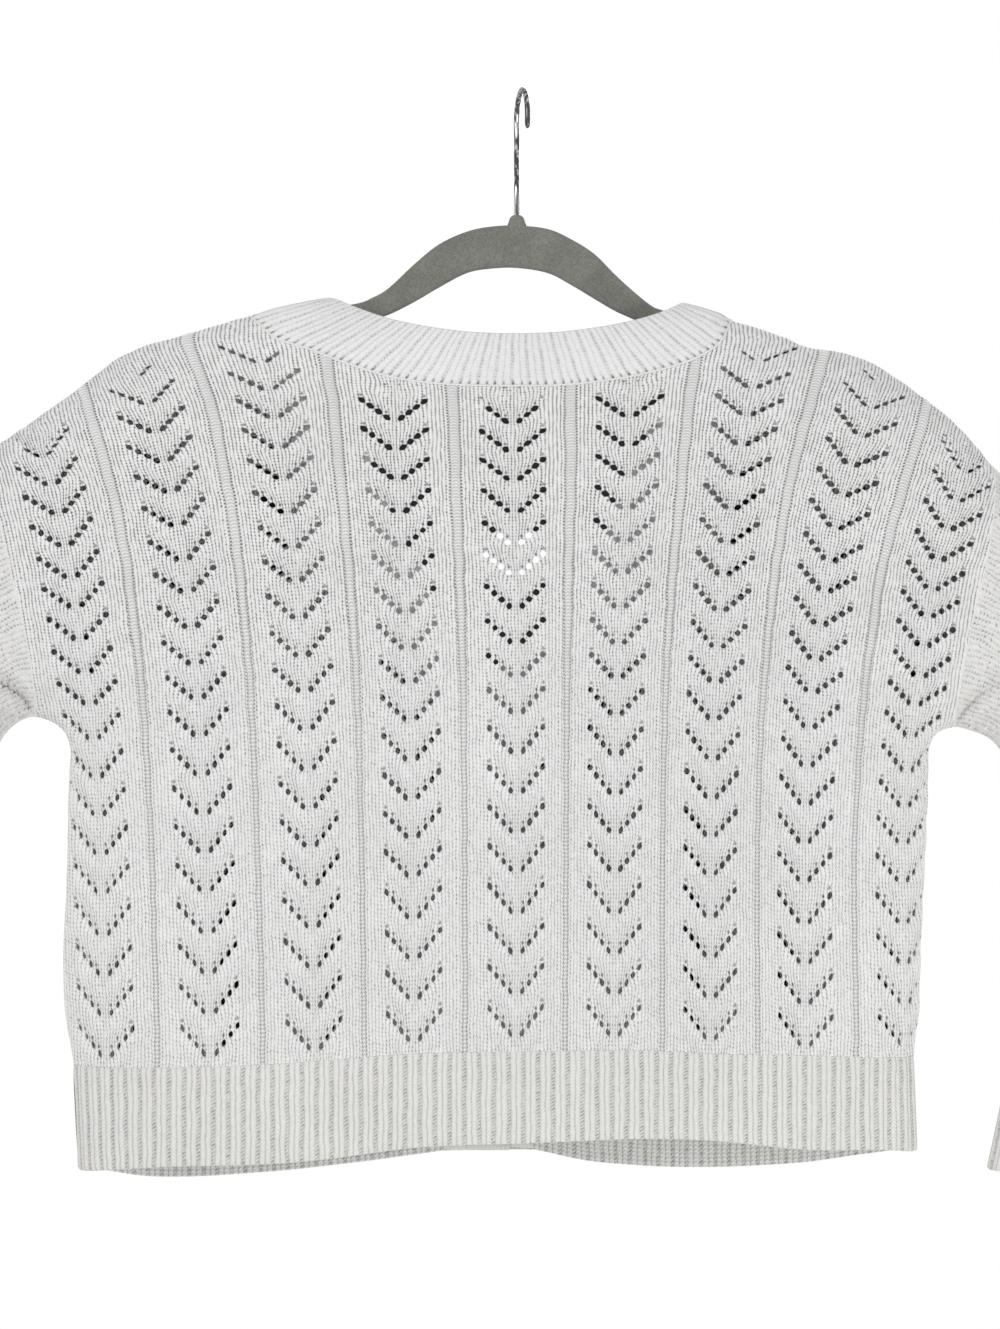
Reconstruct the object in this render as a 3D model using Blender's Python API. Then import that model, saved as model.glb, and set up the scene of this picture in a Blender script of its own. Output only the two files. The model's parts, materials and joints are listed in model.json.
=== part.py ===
"""Cropped cardigan in cotton pointelle rib, hung on a slim velvet hanger with a wire hook.

The cardigan hangs flat and soft: every cloth point has a place (x, z) on the garment's own flat
plane and a depth behind or in front of it. The depth is nothing along the folded edges (shoulder
line, sleeve edges, side seams) and grows inwards along a quarter ellipse.

Lengths in this file are millimetres and become metres when a mesh is made. +Z is up, +X is the
wearer's right, the garment's back faces -Y. The origin is the inside top of the hook.
"""
import math

import bmesh
import bpy
import numpy as np
from mathutils import Vector
from mathutils.geometry import delaunay_2d_cdt

MM = 0.001
SEAM_GAP = 0.3

# Cloth
KNIT_WALL = 2.0
RIB_WALL = 2.6
RIB_RISE = 0.7
HALF_DEPTH = 26.0
ROLL_WIDTH = 58.0
SHOULDER_FILL = 0.35
SHOULDER_FILL_TOP = -190.0
SHOULDER_FILL_END = -330.0
SLEEVE_SQUARENESS = 2.3
SLEEVE_BLEND_RINGS = 4
AROUND_HALF = 10

# Rib pitches, each one ridge and one valley
HEM_RIB = 8.4
BAND_RIB = 6.6
CUFF_RIB = 6.6

# Placket: the wearer's right band lies on the left band
LAP_LIFT = 3.7
LAP_TOP = -262.0
LAP_FULL = -312.0
LAP_X_START = 52.0
LAP_X_FULL = 12.0

# Pointelle: chevrons of eyelets in columns, with a raised rope between two columns
CHEVRON_FIRST_Z = -542.0
CHEVRON_PITCH_LOW = 23.2
CHEVRON_PITCH_HIGH = 16.0
CHEVRON_PITCH_TURN = -380.0
CHEVRON_PITCH_END = -193.0
CHEVRON_OPEN_FROM = -284.0
COLUMN_FLARE_START = -420.0
COLUMN_FLARE_END = -190.0
COLUMN_FLARE_POWER = 1.3
EYELET_OFFSET = 4.4
EYELET_WIDTH = 5.4
EYELET_HEIGHT = 4.6
EYELET_EDGE_CLEAR = 7.0
ROPE_RISE = 0.9
ROPE_HALF_WIDTH = 2.8
ROPE_STEP = 30.0
ROPE_BASE = -548.0

# Spacing of the points inside a panel
INSETS = (2.0, 9.0, 22.0)
LATTICE = 34.0
POINT_CLEAR = 9.0
SLIVER_AREA = 0.01
SAME_POINT = 0.5
ROW_CLEAR = 1.2
EYELET_CORNERS = 6
ROPE_EDGE_CLEAR = 6.0
FAR_AWAY = [(1e6, 1e6)]

# Buttons
BUTTON_COUNT = 5
BUTTON_X = -13.0
BUTTON_TOP_Z = -345.0
BUTTON_STEP = 61.0
BUTTON_RADIUS = 7.5
BUTTON_THICK = 3.0
BUTTON_SIDES = 16

# Hanger and hook
HANGER_THICK = 5.6
HANGER_EDGE = 1.2
HANGER_SEAT_NECK = 4.0
HANGER_SEAT_TIP = 2.9
HANGER_TIP_LEFT = -234.0
HANGER_TIP_RIGHT = 210.0
ARM_DEPTH_ROOT = 12.5
ARM_DEPTH_TIP = 8.0
BOSS_RADIUS = 5.0
BOSS_TOP = -71.0
BOSS_FOOT = -80.0
HOOK_X = -3.0
HOOK_RADIUS = 18.0
WIRE_RADIUS = 1.6
WIRE_SIDES = 8
HOOK_TURN = math.radians(80.0)

# Outlines on the flat plane, columns x, z
SHOULDER = {
    "left": [(-110, -119), (-158, -130), (-201, -142), (-230, -152), (-259, -173),
             (-288, -194), (-314, -211)],
    "right": [(92, -122), (121, -132), (147, -137), (176, -146), (205, -157), (234, -177),
              (254, -195), (273, -217)],
}
NECK_POINT_OUTER = 1
ARMHOLE = {
    "left": [(-314, -211), (-301, -240), (-294, -268), (-288, -296), (-283, -320),
             (-280, -343), (-281, -362)],
    "right": [(273, -217), (270, -242), (265, -273), (258, -303), (253, -330), (250, -350),
              (249, -368)],
}
SIDE = {
    "left": [(-281, -362), (-263, -374), (-263, -410), (-264, -456), (-266, -497),
             (-265, -532), (-260, -563), (-258, -594), (-257, -624)],
    "right": [(249, -368), (237, -376), (235, -410), (233, -456), (231, -497),
              (230, -532), (227, -558), (228, -586), (229, -613)],
}
SIDE_HEM_ROW = 6
# Sleeve sections, columns outer x, outer z, inner x, inner z, half depth
SLEEVE = {
    "left": [(-332, -226, -295, -367, 24), (-352, -251, -304, -379, 23),
             (-374, -288, -312, -401, 22), (-389, -338, -318, -430, 21),
             (-397, -393, -320, -465, 20), (-400, -451, -320, -503, 19),
             (-398, -509, -318, -541, 18), (-393, -561, -316, -575, 16)],
    "right": [(295, -235, 261, -370, 24), (318, -259, 273, -376, 23),
              (342, -294, 282, -390, 22), (360, -340, 288, -419, 21),
              (369, -393, 290, -456, 20), (372, -451, 289, -497, 19),
              (369, -509, 284, -538, 18), (362, -561, 280, -575, 16)],
}
# Cuff ends, columns outer x, outer z, inner x, inner z, half depth
CUFF_END = {
    "left": (-390, -632, -311, -626, 13),
    "right": (351, -629, 270, -624, 13),
}
# Knots of the neck seam on the back and of the band's free edge, columns seam x, seam z, edge x, edge z
BACK_NECK = [(-158, -130, -110, -119), (-150, -137, -105, -121), (-141, -145, -97, -125),
             (-118, -153, -82, -131), (-100, -160, -68, -135), (-74, -168, -50, -138.5),
             (-44, -172, -30, -141), (-6, -173, -5, -142), (28, -172, 20, -141),
             (60, -168, 44, -138), (88, -161, 63, -134), (104, -154, 76, -130),
             (114, -146, 85, -126), (121, -132, 92, -122)]
# The same going down the left front and the right front
FRONT_NECK = {
    "left": [(-158, -130, -110, -119), (-155, -137, -109, -126), (-152, -147, -107, -138),
             (-146, -166, -103, -158), (-139, -191, -99, -179), (-127, -225, -88, -209),
             (-111, -259, -75, -241), (-96, -288, -62, -268), (-78, -316, -46, -294),
             (-62, -342, -27, -317), (-50, -366, -12, -341), (-46, -392, -7, -368),
             (-46, -480, -7, -480), (-46, -559, -7, -559), (-46, -617, -7, -617)],
    "right": [(121, -132, 92, -122), (123, -138, 91, -128), (124, -148, 89, -139),
              (123, -166, 83, -158), (118, -191, 78, -179), (107, -225, 66, -210),
              (93, -259, 53, -241), (78, -288, 39, -268), (59, -316, 22, -294),
              (38, -340, -1, -318), (17, -364, -20, -341), (7, -392, -32, -368),
              (7, -480, -33, -480), (7, -559, -33, -559), (7, -617, -33, -617)],
}
FRONT_HEM_SEAM_KNOT = 13
# Seam between body and hem rib, and hem edge, on the back and on each front, columns x, seam z, edge z
HEM = {
    "back": [(-208, -562, -619), (-160, -561, -618), (-116, -558, -615), (-62, -554, -608),
             (-13, -553, -606), (64, -552, -603), (108, -554, -604), (163, -555, -609),
             (205, -557, -610)],
    "left": [(-218, -570, -630), (-160, -571, -628), (-101, -566, -622)],
    "right": [(46, -565, -621), (105, -566, -623), (164, -564, -621), (199, -560, -618)],
}
# Chevron columns, columns x at the hem, x at the yoke
COLUMNS = [(-243, -281), (-182, -212), (-121, -143), (-63, -73), (-4, -7), (52, 60),
           (107, 128), (161, 199), (219, 256)]
# Soft folds, columns x, z of one end, x, z of the other, half width, height
FOLDS = [(-279, -345, -215, -300, 9, 5.0), (-276, -362, -226, -392, 8, 3.5),
         (248, -350, 190, -306, 9, 5.0), (244, -368, 196, -398, 8, 3.5),
         (-150, -300, -128, -470, 16, 2.0), (140, -330, 122, -500, 16, 2.0)]
# Hanger top edge from the middle outwards, columns x, top z, depth of the arm below it
HANGER_LEFT = [(-3, -78, 24.5), (-25, -78, 25), (-36, -81, 25.5), (-48, -88, 25), (-62, -99, 22),
               (-77, -113, 15.5), (-86, -118.5, 12.5), (-97, -122.5, 12)]
HANGER_RIGHT = [(16, -79, 27), (31, -86, 28), (41, -94, 27), (53, -107, 20), (64, -116, 15.5),
                (75, -123.5, 13), (81, -126, 12.5), (92, -129.5, 12.5), (106, -133, 12.5)]

# Materials, columns colour, roughness, metallic
MATERIALS = {
    "pointelle knit": ((0.66, 0.66, 0.64), 0.90, 0.0),
    "rib knit": ((0.68, 0.68, 0.66), 0.90, 0.0),
    "button shell": ((0.72, 0.71, 0.68), 0.35, 0.0),
    "velvet": ((0.20, 0.20, 0.18), 0.95, 0.0),
    "chrome": ((0.60, 0.60, 0.60), 0.18, 1.0),
}


def clear_scene():
    for thing in list(bpy.data.objects):
        bpy.data.objects.remove(thing, do_unlink=True)


def make_material(name):
    colour, roughness, metallic = MATERIALS[name]
    material = bpy.data.materials.new(name)
    material.use_nodes = True
    shader = material.node_tree.nodes["Principled BSDF"]
    shader.inputs["Base Color"].default_value = (*colour, 1.0)
    shader.inputs["Roughness"].default_value = roughness
    shader.inputs["Metallic"].default_value = metallic
    return material


def add_solid(name, points, faces, material):
    """Make one closed object from points in millimetres, faces turned outwards."""
    mesh = bpy.data.meshes.new(name)
    mesh.from_pydata([tuple(MM * float(c) for c in p) for p in points], [], faces)
    solid = bmesh.new()
    solid.from_mesh(mesh)
    bmesh.ops.triangulate(solid, faces=solid.faces[:])
    bmesh.ops.recalc_face_normals(solid, faces=solid.faces[:])
    solid.to_mesh(mesh)
    solid.free()
    mesh.shade_smooth()
    mesh.set_sharp_from_angle(angle=math.radians(40))
    mesh.materials.append(material)
    item = bpy.data.objects.new(name, mesh)
    bpy.context.scene.collection.objects.link(item)
    return item


def ramp(value, start, end):
    """Smooth step from 0 at start to 1 at end."""
    t = np.clip((value - start) / (end - start), 0.0, 1.0)
    return t * t * (3.0 - 2.0 * t)


def fold_lines():
    """The folded edges of the garment as segments with the cloth on their left."""
    sleeve_l = SLEEVE["left"] + [CUFF_END["left"]]
    sleeve_r = SLEEVE["right"] + [CUFF_END["right"]]
    beyond = np.array([0.0, -60.0])
    top = [(row[0], row[1]) for row in reversed(sleeve_r)] + SHOULDER["right"][::-1]
    top += SHOULDER["left"] + [(row[0], row[1]) for row in sleeve_l]
    left = [(row[2], row[3]) for row in reversed(sleeve_l)] + SIDE["left"]
    right = SIDE["right"][::-1] + [(row[2], row[3]) for row in sleeve_r]
    starts = []
    ends = []
    for line in (top, left, right):
        knots = np.array([line[0] + beyond] + [np.array(p, float) for p in line] + [line[-1] + beyond])
        starts.append(knots[:-1])
        ends.append(knots[1:])
    return np.vstack(starts), np.vstack(ends)


FOLD_STARTS, FOLD_ENDS = fold_lines()


def distance_to_segments(points, starts, ends):
    """Distance of each point to each segment."""
    along = ends - starts
    offset = points[:, None, :] - starts[None]
    t = np.clip((offset * along).sum(2) / (along * along).sum(1), 0.0, 1.0)
    return np.linalg.norm(offset - t[..., None] * along, axis=2)


def edge_distance(points):
    """Distance to the nearest folded edge and the direction away from it."""
    distance = distance_to_segments(points, FOLD_STARTS, FOLD_ENDS)
    along = FOLD_ENDS - FOLD_STARTS
    inward = np.stack([-along[:, 1], along[:, 0]], 1) / np.linalg.norm(along, axis=1)[:, None]
    weight = 1.0 / (distance + 2.0) ** 4
    away = weight @ inward
    return distance.min(1), away / np.linalg.norm(away, axis=1)[:, None]


def soft_folds(points):
    """Height that the soft folds add at each point."""
    height = np.zeros(len(points))
    for x0, z0, x1, z1, half_width, rise in FOLDS:
        start = np.array([[x0, z0]], float)
        end = np.array([[x1, z1]], float)
        distance = distance_to_segments(points, start, end)[:, 0]
        height += rise * np.exp(-(distance / half_width) ** 2)
    return height


def lap(points):
    """Lift of the right front where its band lies on the left one."""
    across = 1.0 - ramp(points[:, 0], LAP_X_FULL, LAP_X_START)
    down = 1.0 - ramp(points[:, 1], LAP_FULL, LAP_TOP)
    return LAP_LIFT * across * down


def cloth_surface(points, side, lifted=False):
    """Outer cloth point and outward normal at each place of the flat plane.

    side is -1 on the back and 1 on the front.
    """
    points = np.asarray(points, float)
    inset, away = edge_distance(points)
    inset = np.where(inset < 0.05, 0.0, inset)
    reach = np.clip(inset / ROLL_WIDTH, 0.0, 1.0)
    roll = np.sqrt(1.0 - (1.0 - reach) ** 2)
    fill = HALF_DEPTH * (1.0 + SHOULDER_FILL * ramp(points[:, 1], SHOULDER_FILL_END, SHOULDER_FILL_TOP))
    depth = roll * (fill + soft_folds(points))
    if lifted:
        depth = depth + lap(points)
    slope = fill / ROLL_WIDTH * (1.0 - reach) / np.maximum(roll, 0.001)
    y = side * depth
    normal = np.stack([-away[:, 0] * slope, np.full(len(points), float(side)), -away[:, 1] * slope], 1)
    normal /= np.linalg.norm(normal, axis=1)[:, None]
    return np.stack([points[:, 0], y, points[:, 1]], 1), normal


def resample(line, count):
    """count points evenly along a line, through a smooth curve over its knots."""
    knots = np.array(line, float)
    padded = np.vstack([2 * knots[0] - knots[1], knots, 2 * knots[-1] - knots[-2]])
    fine = []
    for i in range(1, len(padded) - 2):
        p0, p1, p2, p3 = padded[i - 1:i + 3]
        for t in np.linspace(0.0, 1.0, 12, endpoint=False):
            fine.append(0.5 * (2 * p1 + (p2 - p0) * t + (2 * p0 - 5 * p1 + 4 * p2 - p3) * t ** 2
                               + (3 * p1 - p0 - 3 * p2 + p3) * t ** 3))
    fine.append(knots[-1])
    fine = np.array(fine)
    length = np.concatenate([[0.0], np.cumsum(np.linalg.norm(np.diff(fine, axis=0), axis=1))])
    wanted = np.linspace(0.0, length[-1], count)
    return np.stack([np.interp(wanted, length, fine[:, c]) for c in range(fine.shape[1])], 1)


def seam_normals(line):
    """Unit normals on the left of a line, one for each knot."""
    step = np.gradient(np.asarray(line, float), axis=0)
    normal = np.stack([-step[:, 1], step[:, 0]], 1)
    return normal / np.linalg.norm(normal, axis=1)[:, None]


def armhole_knots(hand):
    """Knots of an armhole seam, spaced as the points of the sleeve's first ring."""
    fine = resample(ARMHOLE[hand], 200)
    share = [superellipse(i)[0] for i in range(AROUND_HALF + 1)]
    place = np.linspace(0.0, 1.0, 200)
    return np.stack([np.interp(share, place, fine[:, c]) for c in range(2)], 1)


def superellipse(i):
    """Place across a sleeve section, 0 to 1, and depth share, for its point i of AROUND_HALF."""
    angle = math.pi * i / AROUND_HALF
    power = 2.0 / SLEEVE_SQUARENESS
    across = math.copysign(abs(math.cos(angle)) ** power, math.cos(angle))
    return 0.5 * (1.0 - across), abs(math.sin(angle)) ** power


def column_x(column, z):
    """Middle of a chevron column at height z: it flares towards the shoulders."""
    low, high = column
    flare = np.clip((z - COLUMN_FLARE_START) / (COLUMN_FLARE_END - COLUMN_FLARE_START), 0.0, 1.2)
    return low + (high - low) * flare ** COLUMN_FLARE_POWER


def chevron_rows():
    """Heights of the chevrons from the hem up to the shoulder."""
    rows = []
    z = CHEVRON_FIRST_Z
    while z < SHOULDER["left"][0][1]:
        rows.append(z)
        share = np.clip((z - CHEVRON_PITCH_TURN) / (CHEVRON_PITCH_END - CHEVRON_PITCH_TURN), 0.0, 1.0)
        z += CHEVRON_PITCH_LOW + (CHEVRON_PITCH_HIGH - CHEVRON_PITCH_LOW) * share
    return rows


def inside(points, outline):
    """Which points lie inside a closed outline."""
    points = np.asarray(points, float)
    found = np.zeros(len(points), bool)
    for (x0, z0), (x1, z1) in zip(outline, np.roll(outline, -1, axis=0)):
        crosses = (z0 > points[:, 1]) != (z1 > points[:, 1])
        if z0 != z1:
            at = x0 + (points[:, 1] - z0) * (x1 - x0) / (z1 - z0)
            found ^= crosses & (points[:, 0] < at)
    return found


def clear_of_outline(points, outline, clearance):
    """Which points lie inside an outline and at least clearance from it."""
    points = np.asarray(points, float)
    distance = distance_to_segments(points, outline, np.roll(outline, -1, axis=0)).min(1)
    return inside(points, outline) & (distance >= clearance)


def eyelets(outline):
    """Outlines of the eyelets that are cut through: the inner pair of each chevron of the yoke."""
    holes = []
    for column in COLUMNS:
        for z in chevron_rows():
            if z < CHEVRON_OPEN_FROM:
                continue
            for hand in (-1, 1):
                x = column_x(column, z) + hand * EYELET_OFFSET
                if clear_of_outline([(x, z)], outline, EYELET_EDGE_CLEAR)[0]:
                    angles = 2.0 * math.pi * np.arange(EYELET_CORNERS) / EYELET_CORNERS
                    hole = np.stack([x + 0.5 * EYELET_WIDTH * np.cos(angles),
                                     z + 0.5 * EYELET_HEIGHT * np.sin(angles)], 1)
                    holes.append(hole)
    return holes


def rope_lines(outline):
    """The ropes between the chevron columns: for each one its left foot, crest and right foot."""
    lines = []
    for first, second in zip(COLUMNS, COLUMNS[1:]):
        for shift in (-ROPE_HALF_WIDTH, 0.0, ROPE_HALF_WIDTH):
            line = []
            z = ROPE_BASE
            while z < SHOULDER["left"][0][1]:
                x = 0.5 * (column_x(first, z) + column_x(second, z)) + shift
                if clear_of_outline([(x, z)], outline, ROPE_EDGE_CLEAR)[0]:
                    line.append((x, z))
                z += ROPE_STEP
            lines.append((line, ROPE_RISE if shift == 0.0 else 0.0))
    return lines


def keep_clear(wanted, kept, clearance):
    """Those wanted points that lie at least clearance from all kept ones and from each other."""
    kept = list(map(tuple, kept))
    chosen = []
    for point in wanted:
        if np.min(np.hypot(*(np.array(kept) - point).T)) >= clearance:
            kept.append(tuple(point))
            chosen.append(tuple(point))
    return chosen


def triangulate(outline, holes, lines, loose):
    """Triangles over an outline with holes, lines and loose points.

    The vertices come in that order: outline, holes, lines, loose points.
    """
    points = [tuple(p) for p in outline]
    edges = [(i, (i + 1) % len(outline)) for i in range(len(outline))]
    ring_of = [-1] * len(points)
    for number, hole in enumerate(holes):
        first = len(points)
        points += [tuple(p) for p in hole]
        ring_of += [number] * len(hole)
        edges += [(first + i, first + (i + 1) % len(hole)) for i in range(len(hole))]
    for line in lines:
        first = len(points)
        points += [tuple(p) for p in line]
        edges += [(first + i, first + i + 1) for i in range(len(line) - 1)]
    points += [tuple(p) for p in loose]
    ring_of += [-1] * (len(points) - len(ring_of))
    result = delaunay_2d_cdt([Vector(p) for p in points], edges, [], 0, 1e-4, True)
    source = [ids[0] for ids in result[3]]
    corners = np.array([[source[v] for v in face] for face in result[2]])
    places = np.array(points)[corners]
    first = places[:, 1] - places[:, 0]
    second = places[:, 2] - places[:, 0]
    area = 0.5 * np.abs(first[:, 0] * second[:, 1] - first[:, 1] * second[:, 0])
    wanted = inside(places.mean(1), outline) & (area > SLIVER_AREA)
    triangles = []
    for face, good in zip(corners, wanted):
        rings = {ring_of[v] for v in face}
        if good and not (len(rings) == 1 and -1 not in rings):
            triangles.append(tuple(int(v) for v in face))
    return points, triangles


def outline_of(lines, folds):
    """One closed outline from lines that follow each other, and which of its points are folded.

    The ends of seams that touch a folded edge count as folded too.
    """
    outline = []
    is_fold = []
    for line, fold in zip(lines, folds):
        for point in line:
            near = edge_distance(np.array([point]))[0][0] < SEAM_GAP
            if outline and np.hypot(*(np.array(outline[-1]) - point)) < SAME_POINT:
                is_fold[-1] = is_fold[-1] or fold or near
                continue
            outline.append(tuple(point))
            is_fold.append(fold or near)
    if np.hypot(*(np.array(outline[0]) - outline[-1])) < SAME_POINT:
        is_fold[0] = is_fold[0] or is_fold.pop()
        outline.pop()
    return np.array(outline), is_fold


def panel(name, lines, folds, side, material, lifted=False):
    """A flat-knit piece inside an outline, with its eyelets and ropes."""
    outline, is_fold = outline_of(lines, folds)
    holes = eyelets(outline)
    ropes = [(line, rise) for line, rise in rope_lines(outline) if len(line) > 1]
    _, away = edge_distance(outline)
    rows = []
    for step in INSETS:
        row = [outline[i] + step * away[i] for i in range(len(outline)) if is_fold[i]]
        good = clear_of_outline(row, outline, 0.8 * step)
        rows += keep_clear([p for p, g in zip(row, good) if g], rows or FAR_AWAY, 0.8 * step)
    lattice = []
    low = outline.min(0)
    high = outline.max(0)
    for x in np.arange(low[0], high[0], LATTICE):
        for z in np.arange(low[1], high[1], LATTICE):
            lattice.append((x, z))
    good = clear_of_outline(lattice, outline, POINT_CLEAR)
    lattice = [p for p, g in zip(lattice, good) if g]
    hole_points = [p for hole in holes for p in hole]
    rope_points = [p for line, _ in ropes for p in line]
    rows = keep_clear(rows, hole_points or FAR_AWAY, ROW_CLEAR)
    plain = keep_clear(lattice, hole_points + rows, POINT_CLEAR)
    filling = keep_clear(lattice, hole_points + rows + rope_points, POINT_CLEAR)
    ropes_clear = keep_clear(rope_points, hole_points + rows, ROW_CLEAR)
    lines = [[p for p in line if tuple(p) in ropes_clear] for line, _ in ropes]
    outer, outer_faces = triangulate(outline, holes, lines, rows + filling)
    inner, inner_faces = triangulate(outline, holes, [], rows + plain)
    place, normal = cloth_surface(outer, side, lifted)
    place_in, normal_in = cloth_surface(inner, side, lifted)
    rise = np.zeros(len(outer))
    first = len(outline) + len(hole_points)
    for line, (_, height) in zip(lines, ropes):
        rise[first:first + len(line)] = height
        first += len(line)
    for i in range(len(outline)):
        if is_fold[i]:
            flat = np.array([-away[i][0], 0.0, -away[i][1]])
            for points, normals in ((place, normal), (place_in, normal_in)):
                points[i] = (outline[i][0], 0.0, outline[i][1])
                normals[i] = flat
    place[:, 1] += side * 0.5 * SEAM_GAP
    place_in[:, 1] += side * 0.5 * SEAM_GAP
    points = list(place + rise[:, None] * normal) + list(place_in - KNIT_WALL * normal_in)
    shift = len(place)
    faces = list(outer_faces) + [tuple(shift + v for v in face) for face in inner_faces]
    rings = [list(range(len(outline)))]
    for number in range(len(holes)):
        start = len(outline) + EYELET_CORNERS * number
        rings.append(list(range(start, start + EYELET_CORNERS)))
    for ring in rings:
        for a, b in zip(ring, ring[1:] + ring[:1]):
            faces.append((a, b, shift + b))
            faces.append((a, shift + b, shift + a))
    return add_solid(name, points, faces, material)


def stitch(first, second, closed, first_at=None, second_at=None):
    """Triangles between two rows of vertices that run the same way.

    first_at and second_at give each vertex's place along its row, 0 to 1, or None for even ones.
    """
    a = list(first) + (list(first[:1]) if closed else [])
    b = list(second) + (list(second[:1]) if closed else [])
    a_at = np.linspace(0.0, 1.0, len(a)) if first_at is None else first_at
    b_at = np.linspace(0.0, 1.0, len(b)) if second_at is None else second_at
    faces = []
    i = 0
    j = 0
    while i < len(a) - 1 or j < len(b) - 1:
        next_a = a_at[i + 1] if i < len(a) - 1 else 2.0
        next_b = b_at[j + 1] if j < len(b) - 1 else 2.0
        if next_a <= next_b:
            faces.append((a[i], a[i + 1], b[j]))
            i += 1
        else:
            faces.append((a[i], b[j + 1], b[j]))
            j += 1
    return faces


def sheet_faces(rows, closed):
    faces = []
    for first, second in zip(rows, rows[1:]):
        faces += stitch(first, second, closed)
    return faces


def wall(name, outer_rows, inner_rows, closed, material, outer_at=None, inner_at=None):
    """A wall between an outer and an inner sheet, each a list of rows of points."""
    points = []
    sheets = []
    for rows in (outer_rows, inner_rows):
        ids = []
        for row in rows:
            ids.append(list(range(len(points), len(points) + len(row))))
            points += [tuple(p) for p in row]
        sheets.append(ids)
    outer, inner = sheets
    faces = sheet_faces(outer, closed) + sheet_faces(inner, closed)
    for end in (0, -1):
        faces += stitch(outer[end], inner[end], closed, outer_at, inner_at)
    if not closed:
        for end in (0, -1):
            faces += stitch([row[end] for row in outer], [row[end] for row in inner], False)
    return add_solid(name, points, faces, material)


def read_along(knots, share):
    """Rows of knots read at shares 0 to 1 of a guide, by straight lines between them."""
    place = np.linspace(0.0, 1.0, len(knots))
    return np.stack([np.interp(share, place, knots[:, c]) for c in range(knots.shape[1])], 1)


def ribbed_strip(name, top, bottom, pitch, closed, material):
    """A ribbed wall between two edges, each a pair of knots and normals in space.

    The ribs run from edge to edge. Both edges have the same number of knots. The plain inner
    sheet has its points at the knots, and the outer one has a ridge and a valley for each rib.
    """
    if closed:
        top = [np.vstack([part, part[:1]]) for part in top]
        bottom = [np.vstack([part, part[:1]]) for part in bottom]
    middle = 0.5 * (top[0] + bottom[0])
    length = np.concatenate([[0.0], np.cumsum(np.linalg.norm(np.diff(middle, axis=0), axis=1))])
    ribs = max(2, round(length[-1] / pitch))
    knots_at = np.linspace(0.0, 1.0, len(middle))
    outer_at = np.interp(np.linspace(0.0, length[-1], 2 * ribs + 1), length, knots_at)
    for knot in knots_at:
        outer_at[np.argmin(np.abs(outer_at - knot))] = knot
    rise = RIB_RISE * (np.arange(len(outer_at)) % 2)
    count = len(outer_at) - 1 if closed else len(outer_at)
    inner_count = len(knots_at) - 1 if closed else len(knots_at)
    outer_rows = []
    inner_rows = []
    for points, normals in (top, bottom):
        outer = read_along(points, outer_at) + rise[:, None] * read_along(normals, outer_at)
        inner = points - RIB_WALL * normals
        outer_rows.append(outer[:count])
        inner_rows.append(inner[:inner_count])
    return wall(name, outer_rows, inner_rows, closed, material, outer_at, knots_at)


def hem_knots(piece):
    """Flat knots of a hem piece, columns x, seam z, edge z, from one side edge to its other end."""
    left_top, left_end = SIDE["left"][SIDE_HEM_ROW], SIDE["left"][-1]
    right_top, right_end = SIDE["right"][SIDE_HEM_ROW], SIDE["right"][-1]
    rows = [(x, x, seam, edge) for x, seam, edge in HEM[piece]]
    left = (left_top[0], left_end[0], left_top[1], left_end[1])
    right = (right_top[0], right_end[0], right_top[1], right_end[1])
    band_left = FRONT_NECK["left"]
    band_right = FRONT_NECK["right"]
    ends = {"back": (left, right),
            "left": (left, hem_end(band_left)),
            "right": (hem_end(band_right), right)}[piece]
    rows = np.array([ends[0]] + rows + [ends[1]], float)
    knots = [rows[0]]
    for step in INSETS:
        if piece != "right":
            knots.append(step_in(rows[0], rows[1], step))
    knots += list(rows[1:-1])
    for step in INSETS[::-1]:
        if piece != "left":
            knots.append(step_in(rows[-1], rows[-2], step))
    return np.array(knots + [rows[-1]])


def hem_end(band):
    """Where a front hem ends at its band."""
    seam = band[FRONT_HEM_SEAM_KNOT]
    edge = band[-1]
    return (seam[0], edge[0], seam[1], edge[1])


def step_in(row, towards, step):
    """A row moved by step towards another one."""
    return row + (towards - row) * step / abs(towards[0] - row[0])


def lay(points, side, lifted=False, folded_ends=(False, False)):
    """Knots and normals in space of a line of flat points, its folded ends flat on y = 0."""
    place, normal = cloth_surface(points, side, lifted)
    _, away = edge_distance(np.asarray(points, float))
    for index, is_folded in ((0, folded_ends[0]), (-1, folded_ends[1])):
        if is_folded:
            place[index] = (points[index][0], 0.0, points[index][1])
            normal[index] = (-away[index][0], 0.0, -away[index][1])
    place[:, 1] += side * 0.5 * SEAM_GAP
    return [place, normal]


def hem_piece(name, piece, material):
    side = -1 if piece == "back" else 1
    knots = hem_knots(piece)
    half = 0.5 * SEAM_GAP
    top = np.stack([knots[:, 0], knots[:, 2] - half], 1)
    bottom = np.stack([knots[:, 1], knots[:, 3]], 1)
    if piece == "left":
        top[-1, 0] -= half
        bottom[-1, 0] -= half
    if piece == "right":
        top[0, 0] += half
        bottom[0, 0] += half
    folded = (piece != "right", piece != "left")
    lifted = piece == "right"
    return ribbed_strip(name, lay(top, side, lifted, folded), lay(bottom, side, lifted, folded),
                        HEM_RIB, False, material)


def moved(line, distance):
    """A line of flat knots moved to its left."""
    return np.asarray(line, float) + distance * seam_normals(line)


def hem_seam(piece):
    """Seam of a panel to its hem, from left to right."""
    knots = hem_knots(piece)
    return np.stack([knots[:, 0], knots[:, 2] + 0.5 * SEAM_GAP], 1)


def side_line(hand, hem_z):
    """Folded side of a panel, from the underarm down to the hem seam."""
    line = resample(SIDE[hand][:SIDE_HEM_ROW + 1], 12)
    line[-1, 1] = hem_z
    return line


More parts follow.
